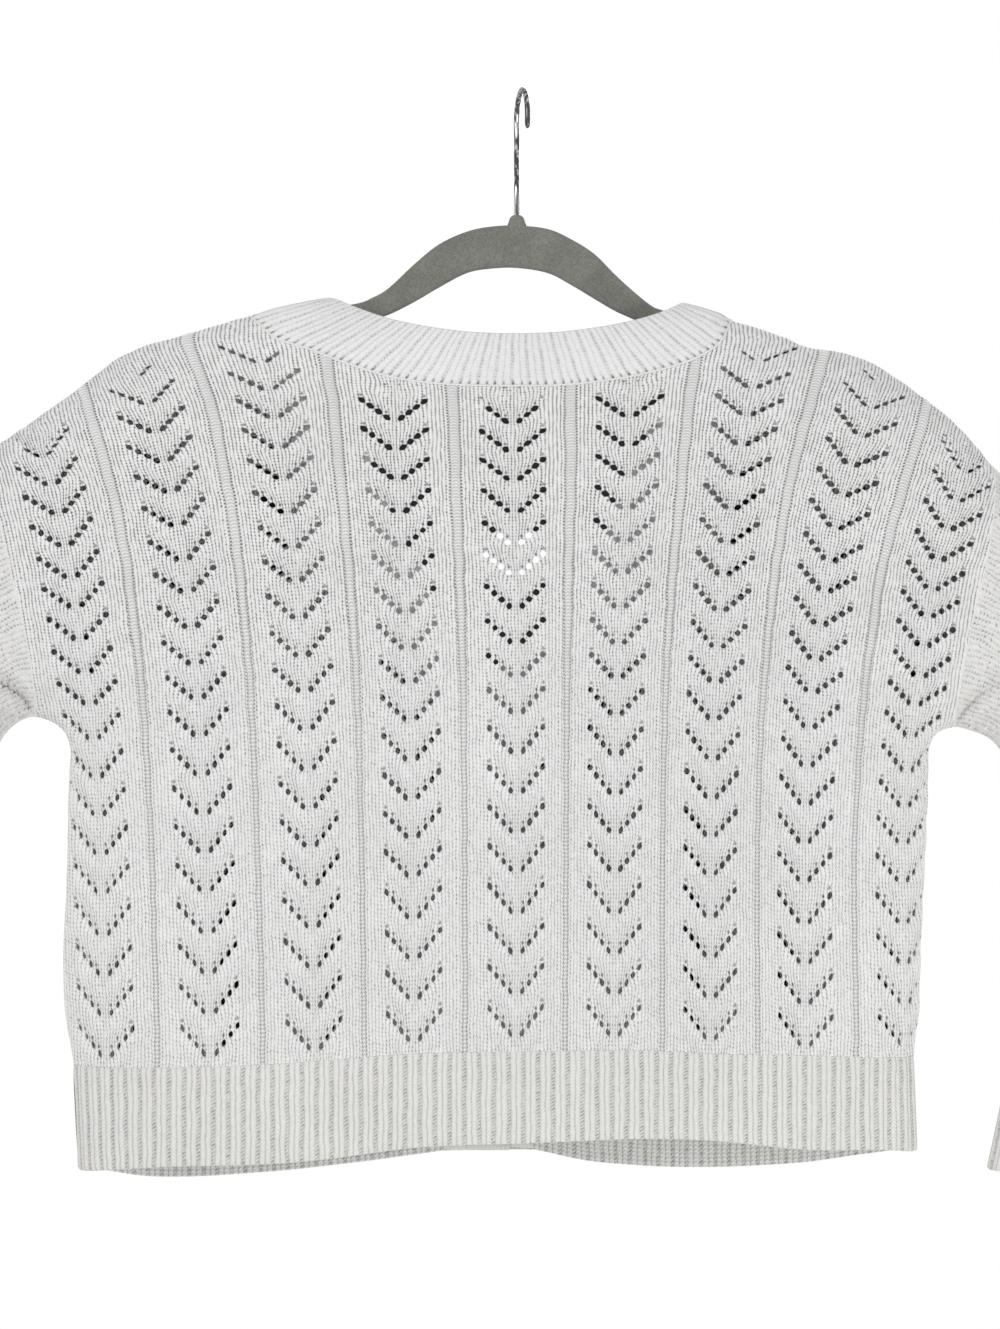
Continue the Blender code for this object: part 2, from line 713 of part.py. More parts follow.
def shoulder_line(hand):
    """Folded shoulder of a panel, from the neck seam out to the armhole."""
    knots = np.array(SHOULDER[hand][NECK_POINT_OUTER:], float)
    return read_along(knots, np.linspace(0.0, 1.0, 2 * len(knots) - 1))


def back_panel(material):
    half = 0.5 * SEAM_GAP
    hem = hem_seam("back")
    left_side = side_line("left", hem[0, 1])
    right_side = side_line("right", hem[-1, 1])
    left_arm = moved(armhole_knots("left"), half)
    right_arm = moved(armhole_knots("right"), -half)
    neck = moved([(row[0], row[1]) for row in BACK_NECK], -half)
    lines = [hem, right_side[::-1][1:-1], right_arm[::-1], shoulder_line("right")[::-1][1:-1],
             neck[::-1], shoulder_line("left")[1:-1], left_arm, left_side[1:-1]]
    folds = [False, True, False, True, False, True, False, True]
    return panel("back_panel", lines, folds, -1, material)


def front_panel(hand, material):
    half = 0.5 * SEAM_GAP
    toward = half if hand == "left" else -half
    hem = hem_seam(hand)
    neck = moved([(row[0], row[1]) for row in FRONT_NECK[hand][:FRONT_HEM_SEAM_KNOT + 1]], -toward)
    arm = moved(armhole_knots(hand), toward)
    shoulder = shoulder_line(hand)
    if hand == "left":
        side = side_line("left", hem[0, 1])
        hem[-1, 0] = neck[-1, 0]
        lines = [hem, neck[::-1][1:], shoulder[1:-1], arm, side[1:-1]]
        folds = [False, False, True, False, True]
    else:
        side = side_line("right", hem[-1, 1])
        hem[0, 0] = neck[-1, 0]
        lines = [hem, side[::-1][1:-1], arm[::-1], shoulder[::-1][1:-1], neck[:-1]]
        folds = [False, True, False, True, False]
    return panel(f"front_{hand}_panel", lines, folds, 1, material, hand == "right")


def sleeve_rings(hand):
    """Flat sections of a sleeve from the armhole down, each a row of points across it."""
    share = np.array([superellipse(i)[0] for i in range(AROUND_HALF + 1)])
    toward = -0.5 * SEAM_GAP if hand == "left" else 0.5 * SEAM_GAP
    rings = [(moved(armhole_knots(hand), toward), None)]
    for outer_x, outer_z, inner_x, inner_z, half_depth in SLEEVE[hand]:
        outer = np.array([outer_x, outer_z], float)
        inner = np.array([inner_x, inner_z], float)
        rings.append((outer + share[:, None] * (inner - outer), half_depth))
    return rings


def tube_ring(flat, half_depth, blend):
    """Points and normals round a sleeve section: down the back, then up the front."""
    depth_share = np.array([superellipse(i)[1] for i in range(AROUND_HALF + 1)])
    place, normal = cloth_surface(flat, 1)
    depth = place[:, 1]
    if half_depth is not None:
        depth = (1.0 - blend) * depth + blend * half_depth * depth_share
    depth[0] = 0.0
    depth[-1] = 0.0
    across = flat[-1] - flat[0]
    across /= np.linalg.norm(across)
    angle = np.pi * np.arange(AROUND_HALF + 1) / AROUND_HALF
    width = np.linalg.norm(flat[-1] - flat[0])
    lean = -np.cos(angle) * (half_depth or HALF_DEPTH)
    plain = np.stack([across[0] * lean, 0.5 * width * np.sin(angle), across[1] * lean], 1)
    plain /= np.linalg.norm(plain, axis=1)[:, None]
    _, away = edge_distance(flat)
    for end in (0, -1):
        normal[end] = (-away[end][0], 0.0, -away[end][1])
    normal = (1.0 - blend) * normal + blend * plain
    normal /= np.linalg.norm(normal, axis=1)[:, None]
    mirror = np.array([1.0, -1.0, 1.0])
    front = np.stack([flat[:, 0], depth, flat[:, 1]], 1)
    points = np.vstack([front * mirror, front[::-1][1:-1]])
    normals = np.vstack([normal * mirror, normal[::-1][1:-1]])
    return points, normals


def sleeve(hand, material):
    outer_rows = []
    inner_rows = []
    for number, (flat, half_depth) in enumerate(sleeve_rings(hand)):
        blend = float(ramp(number, 0, SLEEVE_BLEND_RINGS))
        points, normals = tube_ring(flat, half_depth, blend)
        outer_rows.append(points)
        inner_rows.append(points - KNIT_WALL * normals)
    return wall(f"sleeve_{hand}", outer_rows, inner_rows, True, material)


def cuff(hand, material):
    flat, half_depth = sleeve_rings(hand)[-1]
    outer_x, outer_z, inner_x, inner_z, end_depth = CUFF_END[hand]
    outer = np.array([outer_x, outer_z], float)
    inner = np.array([inner_x, inner_z], float)
    share = np.array([superellipse(i)[0] for i in range(AROUND_HALF + 1)])
    end = outer + share[:, None] * (inner - outer)
    down = (end - flat) / np.linalg.norm(end - flat, axis=1)[:, None]
    top = tube_ring(flat + SEAM_GAP * down, half_depth, 1.0)
    bottom = tube_ring(end, end_depth, 1.0)
    return ribbed_strip(f"cuff_{hand}", top, bottom, CUFF_RIB, True, material)


def band_edge(column):
    """Flat knots of one long edge of the band: up the left front, along the back, down the right."""
    left = [(row[column], row[column + 1]) for row in FRONT_NECK["left"]][::-1]
    back = [(row[column], row[column + 1]) for row in BACK_NECK]
    right = [(row[column], row[column + 1]) for row in FRONT_NECK["right"]]
    return left, back, right


def band_line(column, shift):
    """Knots and normals in space of one long edge of the band, moved by shift towards the band."""
    left_fold = band_fold(FRONT_NECK["left"][0], column, shift)
    right_fold = band_fold(FRONT_NECK["right"][0], column, shift)
    start_fold = (None, left_fold, right_fold)
    end_fold = (left_fold, right_fold, None)
    places = []
    normals = []
    for number, (line, side) in enumerate(zip(band_edge(column), (1, -1, 1))):
        place, normal = cloth_surface(moved(line, -side * shift), side, number == 2)
        place[:, 1] += side * 0.5 * SEAM_GAP
        if start_fold[number]:
            place[0], normal[0] = start_fold[number]
        if end_fold[number]:
            place[-1], normal[-1] = end_fold[number]
        first = min(number, 1)
        places.append(place[first:])
        normals.append(normal[first:])
    return [np.vstack(places), np.vstack(normals)]


def band_fold(row, column, shift):
    """The band's point on the shoulder fold and its normal there."""
    seam = np.array(row[:2], float)
    edge = np.array(row[2:], float)
    flat = np.array(row[column:column + 2], float) + shift * (edge - seam) / np.linalg.norm(edge - seam)
    _, away = edge_distance(flat[None])
    return (flat[0], 0.0, flat[1]), (-away[0][0], 0.0, -away[0][1])


def neck_band(material):
    seam = band_line(0, 0.5 * SEAM_GAP)
    edge = band_line(2, 0.0)
    return ribbed_strip("neck_and_front_band", seam, edge, BAND_RIB, False, material)


def button(number, material):
    """A round button with a raised rim, its back just clear of the band."""
    z = BUTTON_TOP_Z - number * BUTTON_STEP
    surface, _ = cloth_surface(np.array([[BUTTON_X, z]]), 1, True)
    back = surface[0, 1] + 0.5 * SEAM_GAP + RIB_RISE + SEAM_GAP
    profile = [(0.75 * BUTTON_RADIUS, 0.0), (BUTTON_RADIUS, 0.35 * BUTTON_THICK),
               (BUTTON_RADIUS, 0.7 * BUTTON_THICK), (0.85 * BUTTON_RADIUS, BUTTON_THICK),
               (0.62 * BUTTON_RADIUS, 0.6 * BUTTON_THICK)]
    points = [(BUTTON_X, back, z)]
    for radius, height in profile:
        for i in range(BUTTON_SIDES):
            angle = 2.0 * math.pi * i / BUTTON_SIDES
            points.append((BUTTON_X + radius * math.cos(angle), back + height, z + radius * math.sin(angle)))
    points.append((BUTTON_X, back + 0.6 * BUTTON_THICK, z))
    rings = [[1 + BUTTON_SIDES * r + i for i in range(BUTTON_SIDES)] for r in range(len(profile))]
    faces = sheet_faces(rings, True)
    last = len(points) - 1
    for i in range(BUTTON_SIDES):
        j = (i + 1) % BUTTON_SIDES
        faces.append((0, rings[0][i], rings[0][j]))
        faces.append((last, rings[-1][i], rings[-1][j]))
    return add_solid(f"button_{number + 1}", points, faces, material)


def capped_tube(name, rings, material):
    """A solid along rings of points, with a fan at each end."""
    points = [tuple(p) for ring in rings for p in ring]
    size = len(rings[0])
    rows = [list(range(r * size, (r + 1) * size)) for r in range(len(rings))]
    faces = sheet_faces(rows, True)
    for row in (rows[0], rows[-1]):
        points.append(tuple(np.mean([points[i] for i in row], axis=0)))
        faces += [(len(points) - 1, row[i], row[(i + 1) % size]) for i in range(size)]
    return add_solid(name, points, faces, material)


def hanger_rows():
    """Sections of the hanger from left tip to right tip, columns x, top z, depth."""
    rows = []
    for hand, table, tip in (("left", HANGER_LEFT, HANGER_TIP_LEFT), ("right", HANGER_RIGHT, HANGER_TIP_RIGHT)):
        arm = [tuple(row) for row in table]
        start = arm[-1][0]
        shoulder = np.array(SHOULDER[hand], float)
        order = np.argsort(shoulder[:, 0])
        for share in (0.2, 0.4, 0.6, 0.78, 0.93, 1.0):
            x = start + (tip - start) * share
            seat = HANGER_SEAT_NECK + (HANGER_SEAT_TIP - HANGER_SEAT_NECK) * share
            top = np.interp(x, shoulder[order, 0], shoulder[order, 1]) - seat
            depth = ARM_DEPTH_ROOT + (ARM_DEPTH_TIP - ARM_DEPTH_ROOT) * share
            if share == 1.0:
                top -= 0.25 * depth
                depth *= 0.5
            arm.append((x, top, depth))
        rows.append(arm)
    return rows[0][::-1] + rows[1]


def hanger(material):
    """A flat velvet-covered hanger with softened edges and a round boss for the hook."""
    half = 0.5 * HANGER_THICK
    edge = HANGER_EDGE
    rings = []
    for x, top, depth in hanger_rows():
        low = top - depth
        rings.append([(x, half, top - edge), (x, half - edge, top), (x, edge - half, top),
                      (x, -half, top - edge), (x, -half, low + edge), (x, edge - half, low),
                      (x, half - edge, low), (x, half, low + edge)])
    body = capped_tube("hanger", rings, material)
    boss_rings = []
    for z, radius in ((BOSS_FOOT, BOSS_RADIUS), (BOSS_TOP - 1.0, BOSS_RADIUS), (BOSS_TOP, BOSS_RADIUS - 1.0)):
        boss_rings.append([(HOOK_X + radius * math.cos(a), 0.8 * radius * math.sin(a), z)
                           for a in np.linspace(0.0, 2.0 * math.pi, 12, endpoint=False)])
    boss = capped_tube("boss", boss_rings, material)
    boss.hide_render = True
    boss.display_type = "WIRE"
    join = body.modifiers.new("boss", "BOOLEAN")
    join.operation = "UNION"
    join.object = boss
    return body


def hook_path():
    """Middle line of the wire: up from the boss, out to one side and over the top."""
    stem = [(0.0, BOSS_TOP + SEAM_GAP), (0.0, -60.0), (-2.5, -50.0), (-8.0, -41.0), (-14.0, -31.0)]
    crown = WIRE_RADIUS - HOOK_RADIUS
    arc = [(-HOOK_RADIUS * math.cos(a), crown + HOOK_RADIUS * math.sin(a))
           for a in np.radians(np.arange(0, 181, 15))]
    line = resample(stem[:2], 3).tolist()[:-1] + resample(stem[1:] + arc[:1], 7).tolist()[:-1] + arc
    line.append((HOOK_RADIUS - 0.5, crown - 7.0))
    path = []
    for along, z in line:
        lean = HOOK_X * ramp(z, -20.0, -60.0)
        path.append((along * math.cos(HOOK_TURN) + lean, -along * math.sin(HOOK_TURN), z))
    return np.array(path)


def hook(material):
    path = hook_path()
    tangents = np.gradient(path, axis=0)
    tangents /= np.linalg.norm(tangents, axis=1)[:, None]
    beside = np.array([math.sin(HOOK_TURN), math.cos(HOOK_TURN), 0.0])
    rings = []
    for point, tangent in zip(path, tangents):
        first = beside - tangent * beside.dot(tangent)
        first /= np.linalg.norm(first)
        second = np.cross(tangent, first)
        rings.append([point + WIRE_RADIUS * (math.cos(a) * first + math.sin(a) * second)
                      for a in np.linspace(0.0, 2.0 * math.pi, WIRE_SIDES, endpoint=False)])
    return capped_tube("hook", rings, material)


def main():
    clear_scene()
    materials = {name: make_material(name) for name in MATERIALS}
    knit = materials["pointelle knit"]
    rib = materials["rib knit"]
    back_panel(knit)
    hem_piece("hem_back", "back", rib)
    for hand in ("left", "right"):
        front_panel(hand, knit)
        hem_piece(f"hem_front_{hand}", hand, rib)
        sleeve(hand, knit)
        cuff(hand, rib)
    neck_band(rib)
    for number in range(BUTTON_COUNT):
        button(number, materials["button shell"])
    hanger(materials["velvet"])
    hook(materials["chrome"])


main()
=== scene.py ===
"""Looks of the cropped cardigan in cotton pointelle, hung on a slim velvet hanger with a wire hook.

Every cloth point has a place (x, z) on the garment's own flat plane and a depth behind or in
front of it. The depth is nothing along the folded edges and grows inwards along a quarter
ellipse. The knit has coordinates of its own, wales across and courses up, which place the
eyelets, the ropes and every stitch.

Lengths are millimetres and become metres when a mesh is made. +Z is up, +X is the wearer's
right, the garment's back faces -Y. The origin is the inside top of the hook.
"""
import json
import math

import bmesh
import bpy
import numpy as np
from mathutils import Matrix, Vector
from mathutils.geometry import delaunay_2d_cdt
from mathutils.kdtree import KDTree

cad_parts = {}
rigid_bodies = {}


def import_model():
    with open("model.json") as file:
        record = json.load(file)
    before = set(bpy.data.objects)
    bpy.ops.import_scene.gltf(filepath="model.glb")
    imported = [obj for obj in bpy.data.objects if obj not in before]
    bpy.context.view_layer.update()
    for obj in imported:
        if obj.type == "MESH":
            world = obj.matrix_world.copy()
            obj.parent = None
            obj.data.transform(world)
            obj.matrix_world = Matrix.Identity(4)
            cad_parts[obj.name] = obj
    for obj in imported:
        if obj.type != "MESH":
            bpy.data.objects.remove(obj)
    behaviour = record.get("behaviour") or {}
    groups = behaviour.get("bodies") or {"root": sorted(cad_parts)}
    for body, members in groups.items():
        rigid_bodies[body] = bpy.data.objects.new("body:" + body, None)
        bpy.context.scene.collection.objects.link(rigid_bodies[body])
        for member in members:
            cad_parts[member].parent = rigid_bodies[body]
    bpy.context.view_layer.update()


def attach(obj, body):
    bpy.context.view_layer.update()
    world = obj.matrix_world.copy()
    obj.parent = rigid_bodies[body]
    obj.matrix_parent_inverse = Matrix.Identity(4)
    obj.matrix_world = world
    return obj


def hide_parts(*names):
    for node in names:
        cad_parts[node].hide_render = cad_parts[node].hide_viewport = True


MM = 0.001
SEAM_GAP = 0.08
BODY = "root"

# Cloth
KNIT_WALL = 2.0
RIB_WALL = 2.4
HALF_DEPTH = 26.0
ROLL_WIDTH = 58.0
SHOULDER_FILL = 0.35
SHOULDER_FILL_TOP = -190.0
SHOULDER_FILL_END = -330.0
SLEEVE_SQUARENESS = 2.3
SLEEVE_BLEND_RINGS = 4
AROUND_HALF = 44
ARMHOLE_DEPTH = 24.0
SLEEVE_WALES = 48.0
SLEEVE_COURSE = 2.2
CUFF_SEAM_RING = 8.0
CUFF_END_RING = 9.0

# Ribs, each one ridge of two wales and one valley
HEM_RIB = 8.4
BAND_RIB = 8.4
CUFF_RIB = 7.4
RIB_RISE = 0.8
RIB_COURSE = 2.3

# Placket: the wearer's right band lies on the left band
LAP_LIFT = 3.7
LAP_TOP = -262.0
LAP_FULL = -312.0
LAP_X_START = 52.0
LAP_X_FULL = 12.0

# Pointelle: 30 wales from one chevron column to the next, 10 courses from one chevron to the next
REPEAT_WALES = 30.0
CHEVRON_COURSES = 10.0
MIDDLE_WALE = 150.0
ROPED_WALES = 127.0
ROW_SAG_LOW = -430.0
ROW_SAG_HIGH = -190.0
ROW_OFFSET_LOW = -420.0
ROW_OFFSET_HIGH = -220.0
EYELETS_PER_ARM = 4
EYELET_FIRST_WALE = 1.85
EYELET_STEP_WALES = 1.98
EYELET_STEP_COURSES = 2.0
EYELET_CORNERS = 8
EYELET_LIP = 0.55
EYELET_EDGE_CLEAR = 3.6
HOLE_SINK = 0.55
HOLE_THIN = 0.5
# Where the faces of a black disc of painted shadow lie in the wall, 0 outside and 1 inside
SHADOW_DISC_DEPTHS = (0.55, 0.80)
ROPE_RISE = 0.2
ROPE_HALF = 1.1
GROOVE_DEPTH = 0.12
GROOVE_MIDDLE = 1.8
GROOVE_HALF = 0.8
PUFF_RISE = 0.5
YARN_LUMPS = 0.07

# Outlines on the flat plane, columns x, z
SHOULDER = {
    "left": [(-110, -119), (-158, -130), (-201, -142), (-230, -152), (-259, -173),
             (-288, -194), (-314, -211)],
    "right": [(92, -122), (121, -132), (145, -139.5), (165, -147.5), (184, -150.5), (205, -158.5),
              (234, -178), (254, -195), (273, -217)],
}
ARMHOLE = {
    "left": [(-314, -211), (-301, -240), (-294, -268), (-288, -296), (-283, -320),
             (-280, -343), (-281, -362)],
    "right": [(273, -217), (270, -242), (265, -273), (258, -303), (253, -330), (250, -350),
              (249, -368)],
}
SIDE = {
    "left": [(-281, -362), (-263, -374), (-263, -410), (-264, -456), (-266, -497),
             (-265, -532), (-260, -563), (-258, -594), (-257, -624)],
    "right": [(249, -368), (237, -376), (235, -410), (233, -456), (231, -497),
              (230, -532), (227, -558), (228, -586), (229, -613)],
}
SIDE_HEM_ROW = 6
# Sleeve sections, columns outer x, outer z, inner x, inner z, half depth
SLEEVE = {
    "left": [(-332, -226, -295, -367, 24), (-352, -251, -304, -379, 23),
             (-374, -288, -312, -401, 22), (-389, -338, -318, -430, 21),
             (-397, -393, -320, -465, 20), (-400, -451, -320, -503, 19),
             (-398, -509, -318, -541, 18), (-393, -561, -316, -575, 16)],
    "right": [(295, -235, 261, -370, 24), (318, -259, 273, -376, 23),
              (342, -294, 282, -390, 22), (360, -340, 288, -419, 21),
              (369, -393, 290, -456, 20), (372, -451, 289, -497, 19),
              (369, -509, 284, -538, 18), (362, -561, 280, -575, 16)],
}
# Cuff ends, columns outer x, outer z, inner x, inner z, half depth
CUFF_END = {
    "left": (-390, -632, -311, -626, 13),
    "right": (351, -629, 270, -624, 13),
}
# Knots of the neck seam on the back and of the band's free edge, columns seam x, seam z, edge x, edge z
BACK_NECK = [(-158, -130, -110, -119), (-150, -137, -105, -121), (-141, -145, -97, -125),
             (-118, -153, -82, -131), (-100, -160, -68, -135), (-74, -168, -50, -138.5),
             (-44, -172, -30, -141), (-6, -173, -5, -142), (28, -172, 20, -141),
             (60, -168, 44, -138), (88, -161, 63, -134), (104, -154, 76, -130),
             (114, -146, 85, -126), (121, -132, 92, -122)]
# The same going down the left front and the right front
FRONT_NECK = {
    "left": [(-158, -130, -110, -119), (-155, -137, -109, -126), (-152, -147, -107, -138),
             (-146, -166, -103, -158), (-139, -191, -99, -179), (-127, -225, -88, -209),
             (-111, -259, -75, -241), (-96, -288, -62, -268), (-78, -316, -46, -294),
             (-62, -342, -27, -317), (-50, -366, -12, -341), (-46, -392, -7, -368),
             (-46, -480, -7, -480), (-46, -559, -7, -559), (-46, -617, -7, -617)],
    "right": [(121, -132, 92, -122), (123, -138, 91, -128), (124, -148, 89, -139),
              (123, -166, 83, -158), (118, -191, 78, -179), (107, -225, 66, -210),
              (93, -259, 53, -241), (78, -288, 39, -268), (59, -316, 22, -294),
              (38, -340, -1, -318), (17, -364, -20, -341), (7, -392, -32, -368),
              (7, -480, -33, -480), (7, -559, -33, -559), (7, -617, -33, -617)],
}
FRONT_HEM_SEAM_KNOT = 13
# Seam between body and hem rib, and hem edge, on the back and on each front, columns x, seam z, edge z
HEM = {
    "back": [(-208, -562, -619), (-160, -561, -618), (-116, -558, -615), (-62, -554, -608),
             (-13, -553, -606), (64, -552, -603), (108, -554, -604), (163, -555, -609),
             (205, -557, -610)],
    "left": [(-218, -570, -632), (-160, -571, -630.5), (-101, -566, -624.5)],
    "right": [(46, -565, -624), (105, -566, -627), (164, -564, -624), (199, -560, -619)],
}
# Where each chevron column runs, columns its x at each of these heights
COLUMN_HEIGHTS = (-540.0, -430.0, -345.0, -275.0, -228.0, -180.0, -145.0)
COLUMNS = [(-300, -304, -311, -322, -334, -352, -368), (-239, -242.5, -249, -258.5, -268.5, -286, -299),
           (-178.5, -182, -186, -193, -201, -214, -233), (-118.5, -121, -124.5, -130, -136, -143, -153),
           (-62, -63, -64.5, -68, -71, -73.5, -76), (-3.5, -3, -3, -4, -5, -6, -7),
           (52.5, 53, 54, 57, 60, 61, 63), (107.5, 107.5, 110, 115, 121, 129, 139),
           (161.5, 161, 165.5, 174.5, 183.5, 200, 213), (221, 219, 226, 236, 251, 267, 280),
           (279, 277, 286, 298, 315, 335, 350)]
# How far the rows of each column lie off those of the middle one, columns at the hem, between, at the yoke
ROW_OFFSETS = [(-13, -4, -23), (-13, -4, -17), (-11.5, -5, -4), (-8, -6, 3.5), (-3, -3.8, 2), (0, -1, 0),
               (0, -3.5, 4), (-2, -5, 5), (-6, -4.5, -6), (-6.5, -8, -23.5), (-12, -8, -34)]
# The last row of each column under the shoulder, columns row, its eyelets on the left arm, on the right arm
LAST_ROWS = [(16, 4, 4), (17, 2, 4), (19, 0, 2), (19, 4, 2), (17, 4, 4), (17, 3, 3), (17, 4, 4), (19, 2, 4),
             (19, 2, 0), (17, 4, 2), (16, 4, 4)]
# Heights of the chevrons of the middle column, from the hem to the shoulder
CHEVRONS = [-542, -518, -495, -472, -448, -426, -403, -380, -357, -336, -317, -297, -278, -261,
            -243, -225, -209, -193, -177, -161, -145, -129, -113]
# Eyelets, columns z, width, height, lean of an eyelet on the right arm in degrees
EYELETS = [(-550, 2.5, 4.7, -16), (-468, 2.6, 4.6, -16), (-352, 3.2, 4.1, -8), (-328, 3.5, 3.8, 0),
           (-267, 4.1, 3.6, 14), (-230, 4.6, 3.4, 24), (-193, 4.9, 3.2, 30)]
# How far past the V an eyelet still counts as over it
NECK_MARGIN = 2.0
# Where the eyelets over the open V get no painted shadow disc and let light through: least x, lowest z,
# highest z
PALE_EYELETS = (-35.0, -281.0, -257.0)
# Soft folds of back and fronts, columns x, z of one end, x, z of the other, half width, height
FOLDS = [(-279, -345, -215, -300, 9, 5.0), (-276, -362, -226, -392, 8, 3.5),
         (248, -350, 190, -306, 9, 5.0), (244, -368, 196, -398, 8, 3.5),
         (-150, -300, -128, -470, 16, 2.0), (140, -330, 122, -500, 16, 2.0)]
# How deep the crease over the roll of cloth under each arm is
UNDERARM_CREASE = {"left": 9.0, "right": 5.0}
# Long soft waves of the hanging cloth, columns height, length across, lean, phase
WAVES = [(0.55, 118.0, 0.16, 0.4), (0.40, 71.0, -0.11, 2.1), (0.22, 43.0, 0.07, 4.4)]
# Hanger top edge from the middle outwards, columns x, top z, depth of the arm below it
HANGER_LEFT = [(-3, -77, 24.5), (-18, -77.6, 24.3), (-32, -80.5, 24), (-48, -87.8, 25), (-62, -99, 22),
               (-77, -113, 15.5), (-86, -118.5, 12.5), (-97, -122.5, 12)]
HANGER_RIGHT = [(15, -79, 25.5), (29, -85.2, 26.5), (42, -93.5, 26), (54, -105.5, 21), (65, -115.5, 16),
                (75, -123.5, 13), (81, -126, 12.5), (92, -129.5, 12.5), (106, -133, 12.5)]
HANGER_THICK = 5.6
HANGER_SIDES = 40
HANGER_SEAT_NECK = 4.0
HANGER_SEAT_TIP = 2.9
HANGER_TIP = {"left": -234.0, "right": 210.0}
ARM_DEPTH_ROOT = 12.5
ARM_DEPTH_TIP = 8.0
BOSS_TOP = -71.0
BOSS_FOOT = -82.0
BOSS_RINGS = 14
BOSS_RADIUS = 3.9
BOSS_FLARE = 4.2
BOSS_FLATNESS = 0.62
HOOK_X = -3.0
HOOK_RADIUS = 18.0
WIRE_RADIUS = 1.6
HOOK_TURN = math.radians(80.0)

# Buttons
BUTTON_COUNT = 5
BUTTON_X = -13.0
BUTTON_TOP_Z = -345.0
BUTTON_STEP = 61.0
BUTTON_RADIUS = 7.5
BUTTON_THICK = 3.0
BUTTON_LIFT = 1.0
BUTTON_SIDES = 48
DISH_RADIUS = 0.62
DISH_HEIGHT = 0.62
HOLE_OFFSET = 1.45
HOLE_RADIUS = 0.75
HOLE_SIDES = 12
# The button's rim from the dish to its back, columns share of the radius, share of the thickness
BUTTON_RIM = [(0.68, 0.70), (0.76, 0.93), (0.86, 1.0), (0.95, 0.90), (1.0, 0.62), (0.98, 0.28),
              (0.90, 0.06)]

# Sewing thread in the buttons
THREAD_RADIUS = 0.3
THREAD_SHIFT = 0.22
THREAD_RISE = 0.75

# Chains of stitches along the seams
CHAIN_PITCH = 2.6
CHAIN_STEP = 0.55
CHAIN_SIDES = 10

# Soft variations of the yarn, columns effect, scale, detail, least, most
YARN = [("Fuzz", 1500.0, 2.0, 0.0, 1.0), ("Tone", 22.0, 4.0, 0.965, 1.02),
        ("Sway", 75.0, 2.0, -0.45, 0.45), ("Openness", 110.0, 3.0, 0.45, 1.5)]

# Studio
SURROUND = 0.62
FLOOR = [(-1.6, -1.2, -1.25), (1.6, -1.2, -1.25), (1.6, 1.2, -1.25), (-1.6, 1.2, -1.25)]
# Lamps, columns name, place, aim, size, power
LAMPS = [("key", (-1.2, -1.7, 0.75), (0.0, 0.0, -0.35), (1.1, 1.1), 17.5),
         ("fill", (1.2, -1.5, -0.85), (0.0, 0.0, -0.45), (1.3, 0.8), 10.0),
         ("behind", (0.6, 1.8, 0.5), (0.0, 0.0, -0.35), (1.2, 1.2), 24.0)]
CAMERA = (-0.01276, -1.8, -0.3315)
LENS = 84.07

# Spacing of the points inside a panel
EDGE_ROWS = (0.5, 1.3, 2.6, 4.4, 7.0)
FOLD_STEP = 4.0
WALE_MARKS = (-15, -14, -13, -12, -10.5, -9, -7.5, -6, -4.5, -3, -1.5, 0,
              1.5, 3, 4.5, 6, 7.5, 9, 10.5, 12, 13, 14)
COURSE_STEP = 1.5
LATTICE_CLEAR = 1.3
LATTICE_RIM = 1.6
LINING_STEP = 7.0
LINING_CLEAR = 3.0
SLIVER_AREA = 0.002
SAME_POINT = 0.35


def clear_scene():
    for thing in list(bpy.data.objects):
        bpy.data.objects.remove(thing, do_unlink=True)


def ramp(value, start, end):
    """Smooth step from 0 at start to 1 at end."""
    t = np.clip((value - start) / (end - start), 0.0, 1.0)
    return t * t * (3.0 - 2.0 * t)


def unit(vectors):
    """The directions of vectors, each with length 1."""
    return vectors / np.linalg.norm(vectors, axis=1)[:, None]


def rounded(value, power):
    """A power of the size of a value, with the value's own sign."""
    return np.sign(value) * np.abs(value) ** power


def circle_of(count):
    """Points evenly round a circle with radius 1."""
    angles = 2.0 * math.pi * np.arange(count) / count
    return np.stack([np.cos(angles), np.sin(angles)], 1)


def come_round(ring):
    """A ring of points with its first one again at the end."""
    return np.vstack([ring, ring[:1]])


def run_length(line):
    """How far each point lies along a line."""
    return np.concatenate([[0.0], np.cumsum(np.linalg.norm(np.diff(line, axis=0), axis=1))])


def read_along(at, marks, values):
    """Points or directions in space, read between the marks where they are given."""
    return np.stack([np.interp(at, marks, values[:, axis]) for axis in range(3)], 1)


def loops_of(sizes):
    """Point numbers of loops that follow each other, the outline first and then the holes."""
    ends = np.cumsum(sizes)
    return [list(range(int(end) - size, int(end))) for end, size in zip(ends, sizes)]


def edges_round(loops):
    """The edges round each loop of point numbers."""
    return [edge for loop in loops for edge in zip(loop, loop[1:] + loop[:1])]


def wall_between(one, two):
    """Four-sided faces all the way round between two loops of point numbers."""
    return [(a, b, d, c) for a, b, c, d in zip(one, one[1:] + one[:1], two, two[1:] + two[:1])]


def tube_faces(rings, sides):
    """Faces of a tube whose points run ring after ring, without its ends."""
    loops = loops_of([sides] * rings)
    return [face for one, two in zip(loops, loops[1:]) for face in wall_between(one, two)]


def end_faces(rings, sides):
    """The two flat ends of a tube."""
    return [tuple(range(sides)), tuple(range((rings - 1) * sides, rings * sides))]


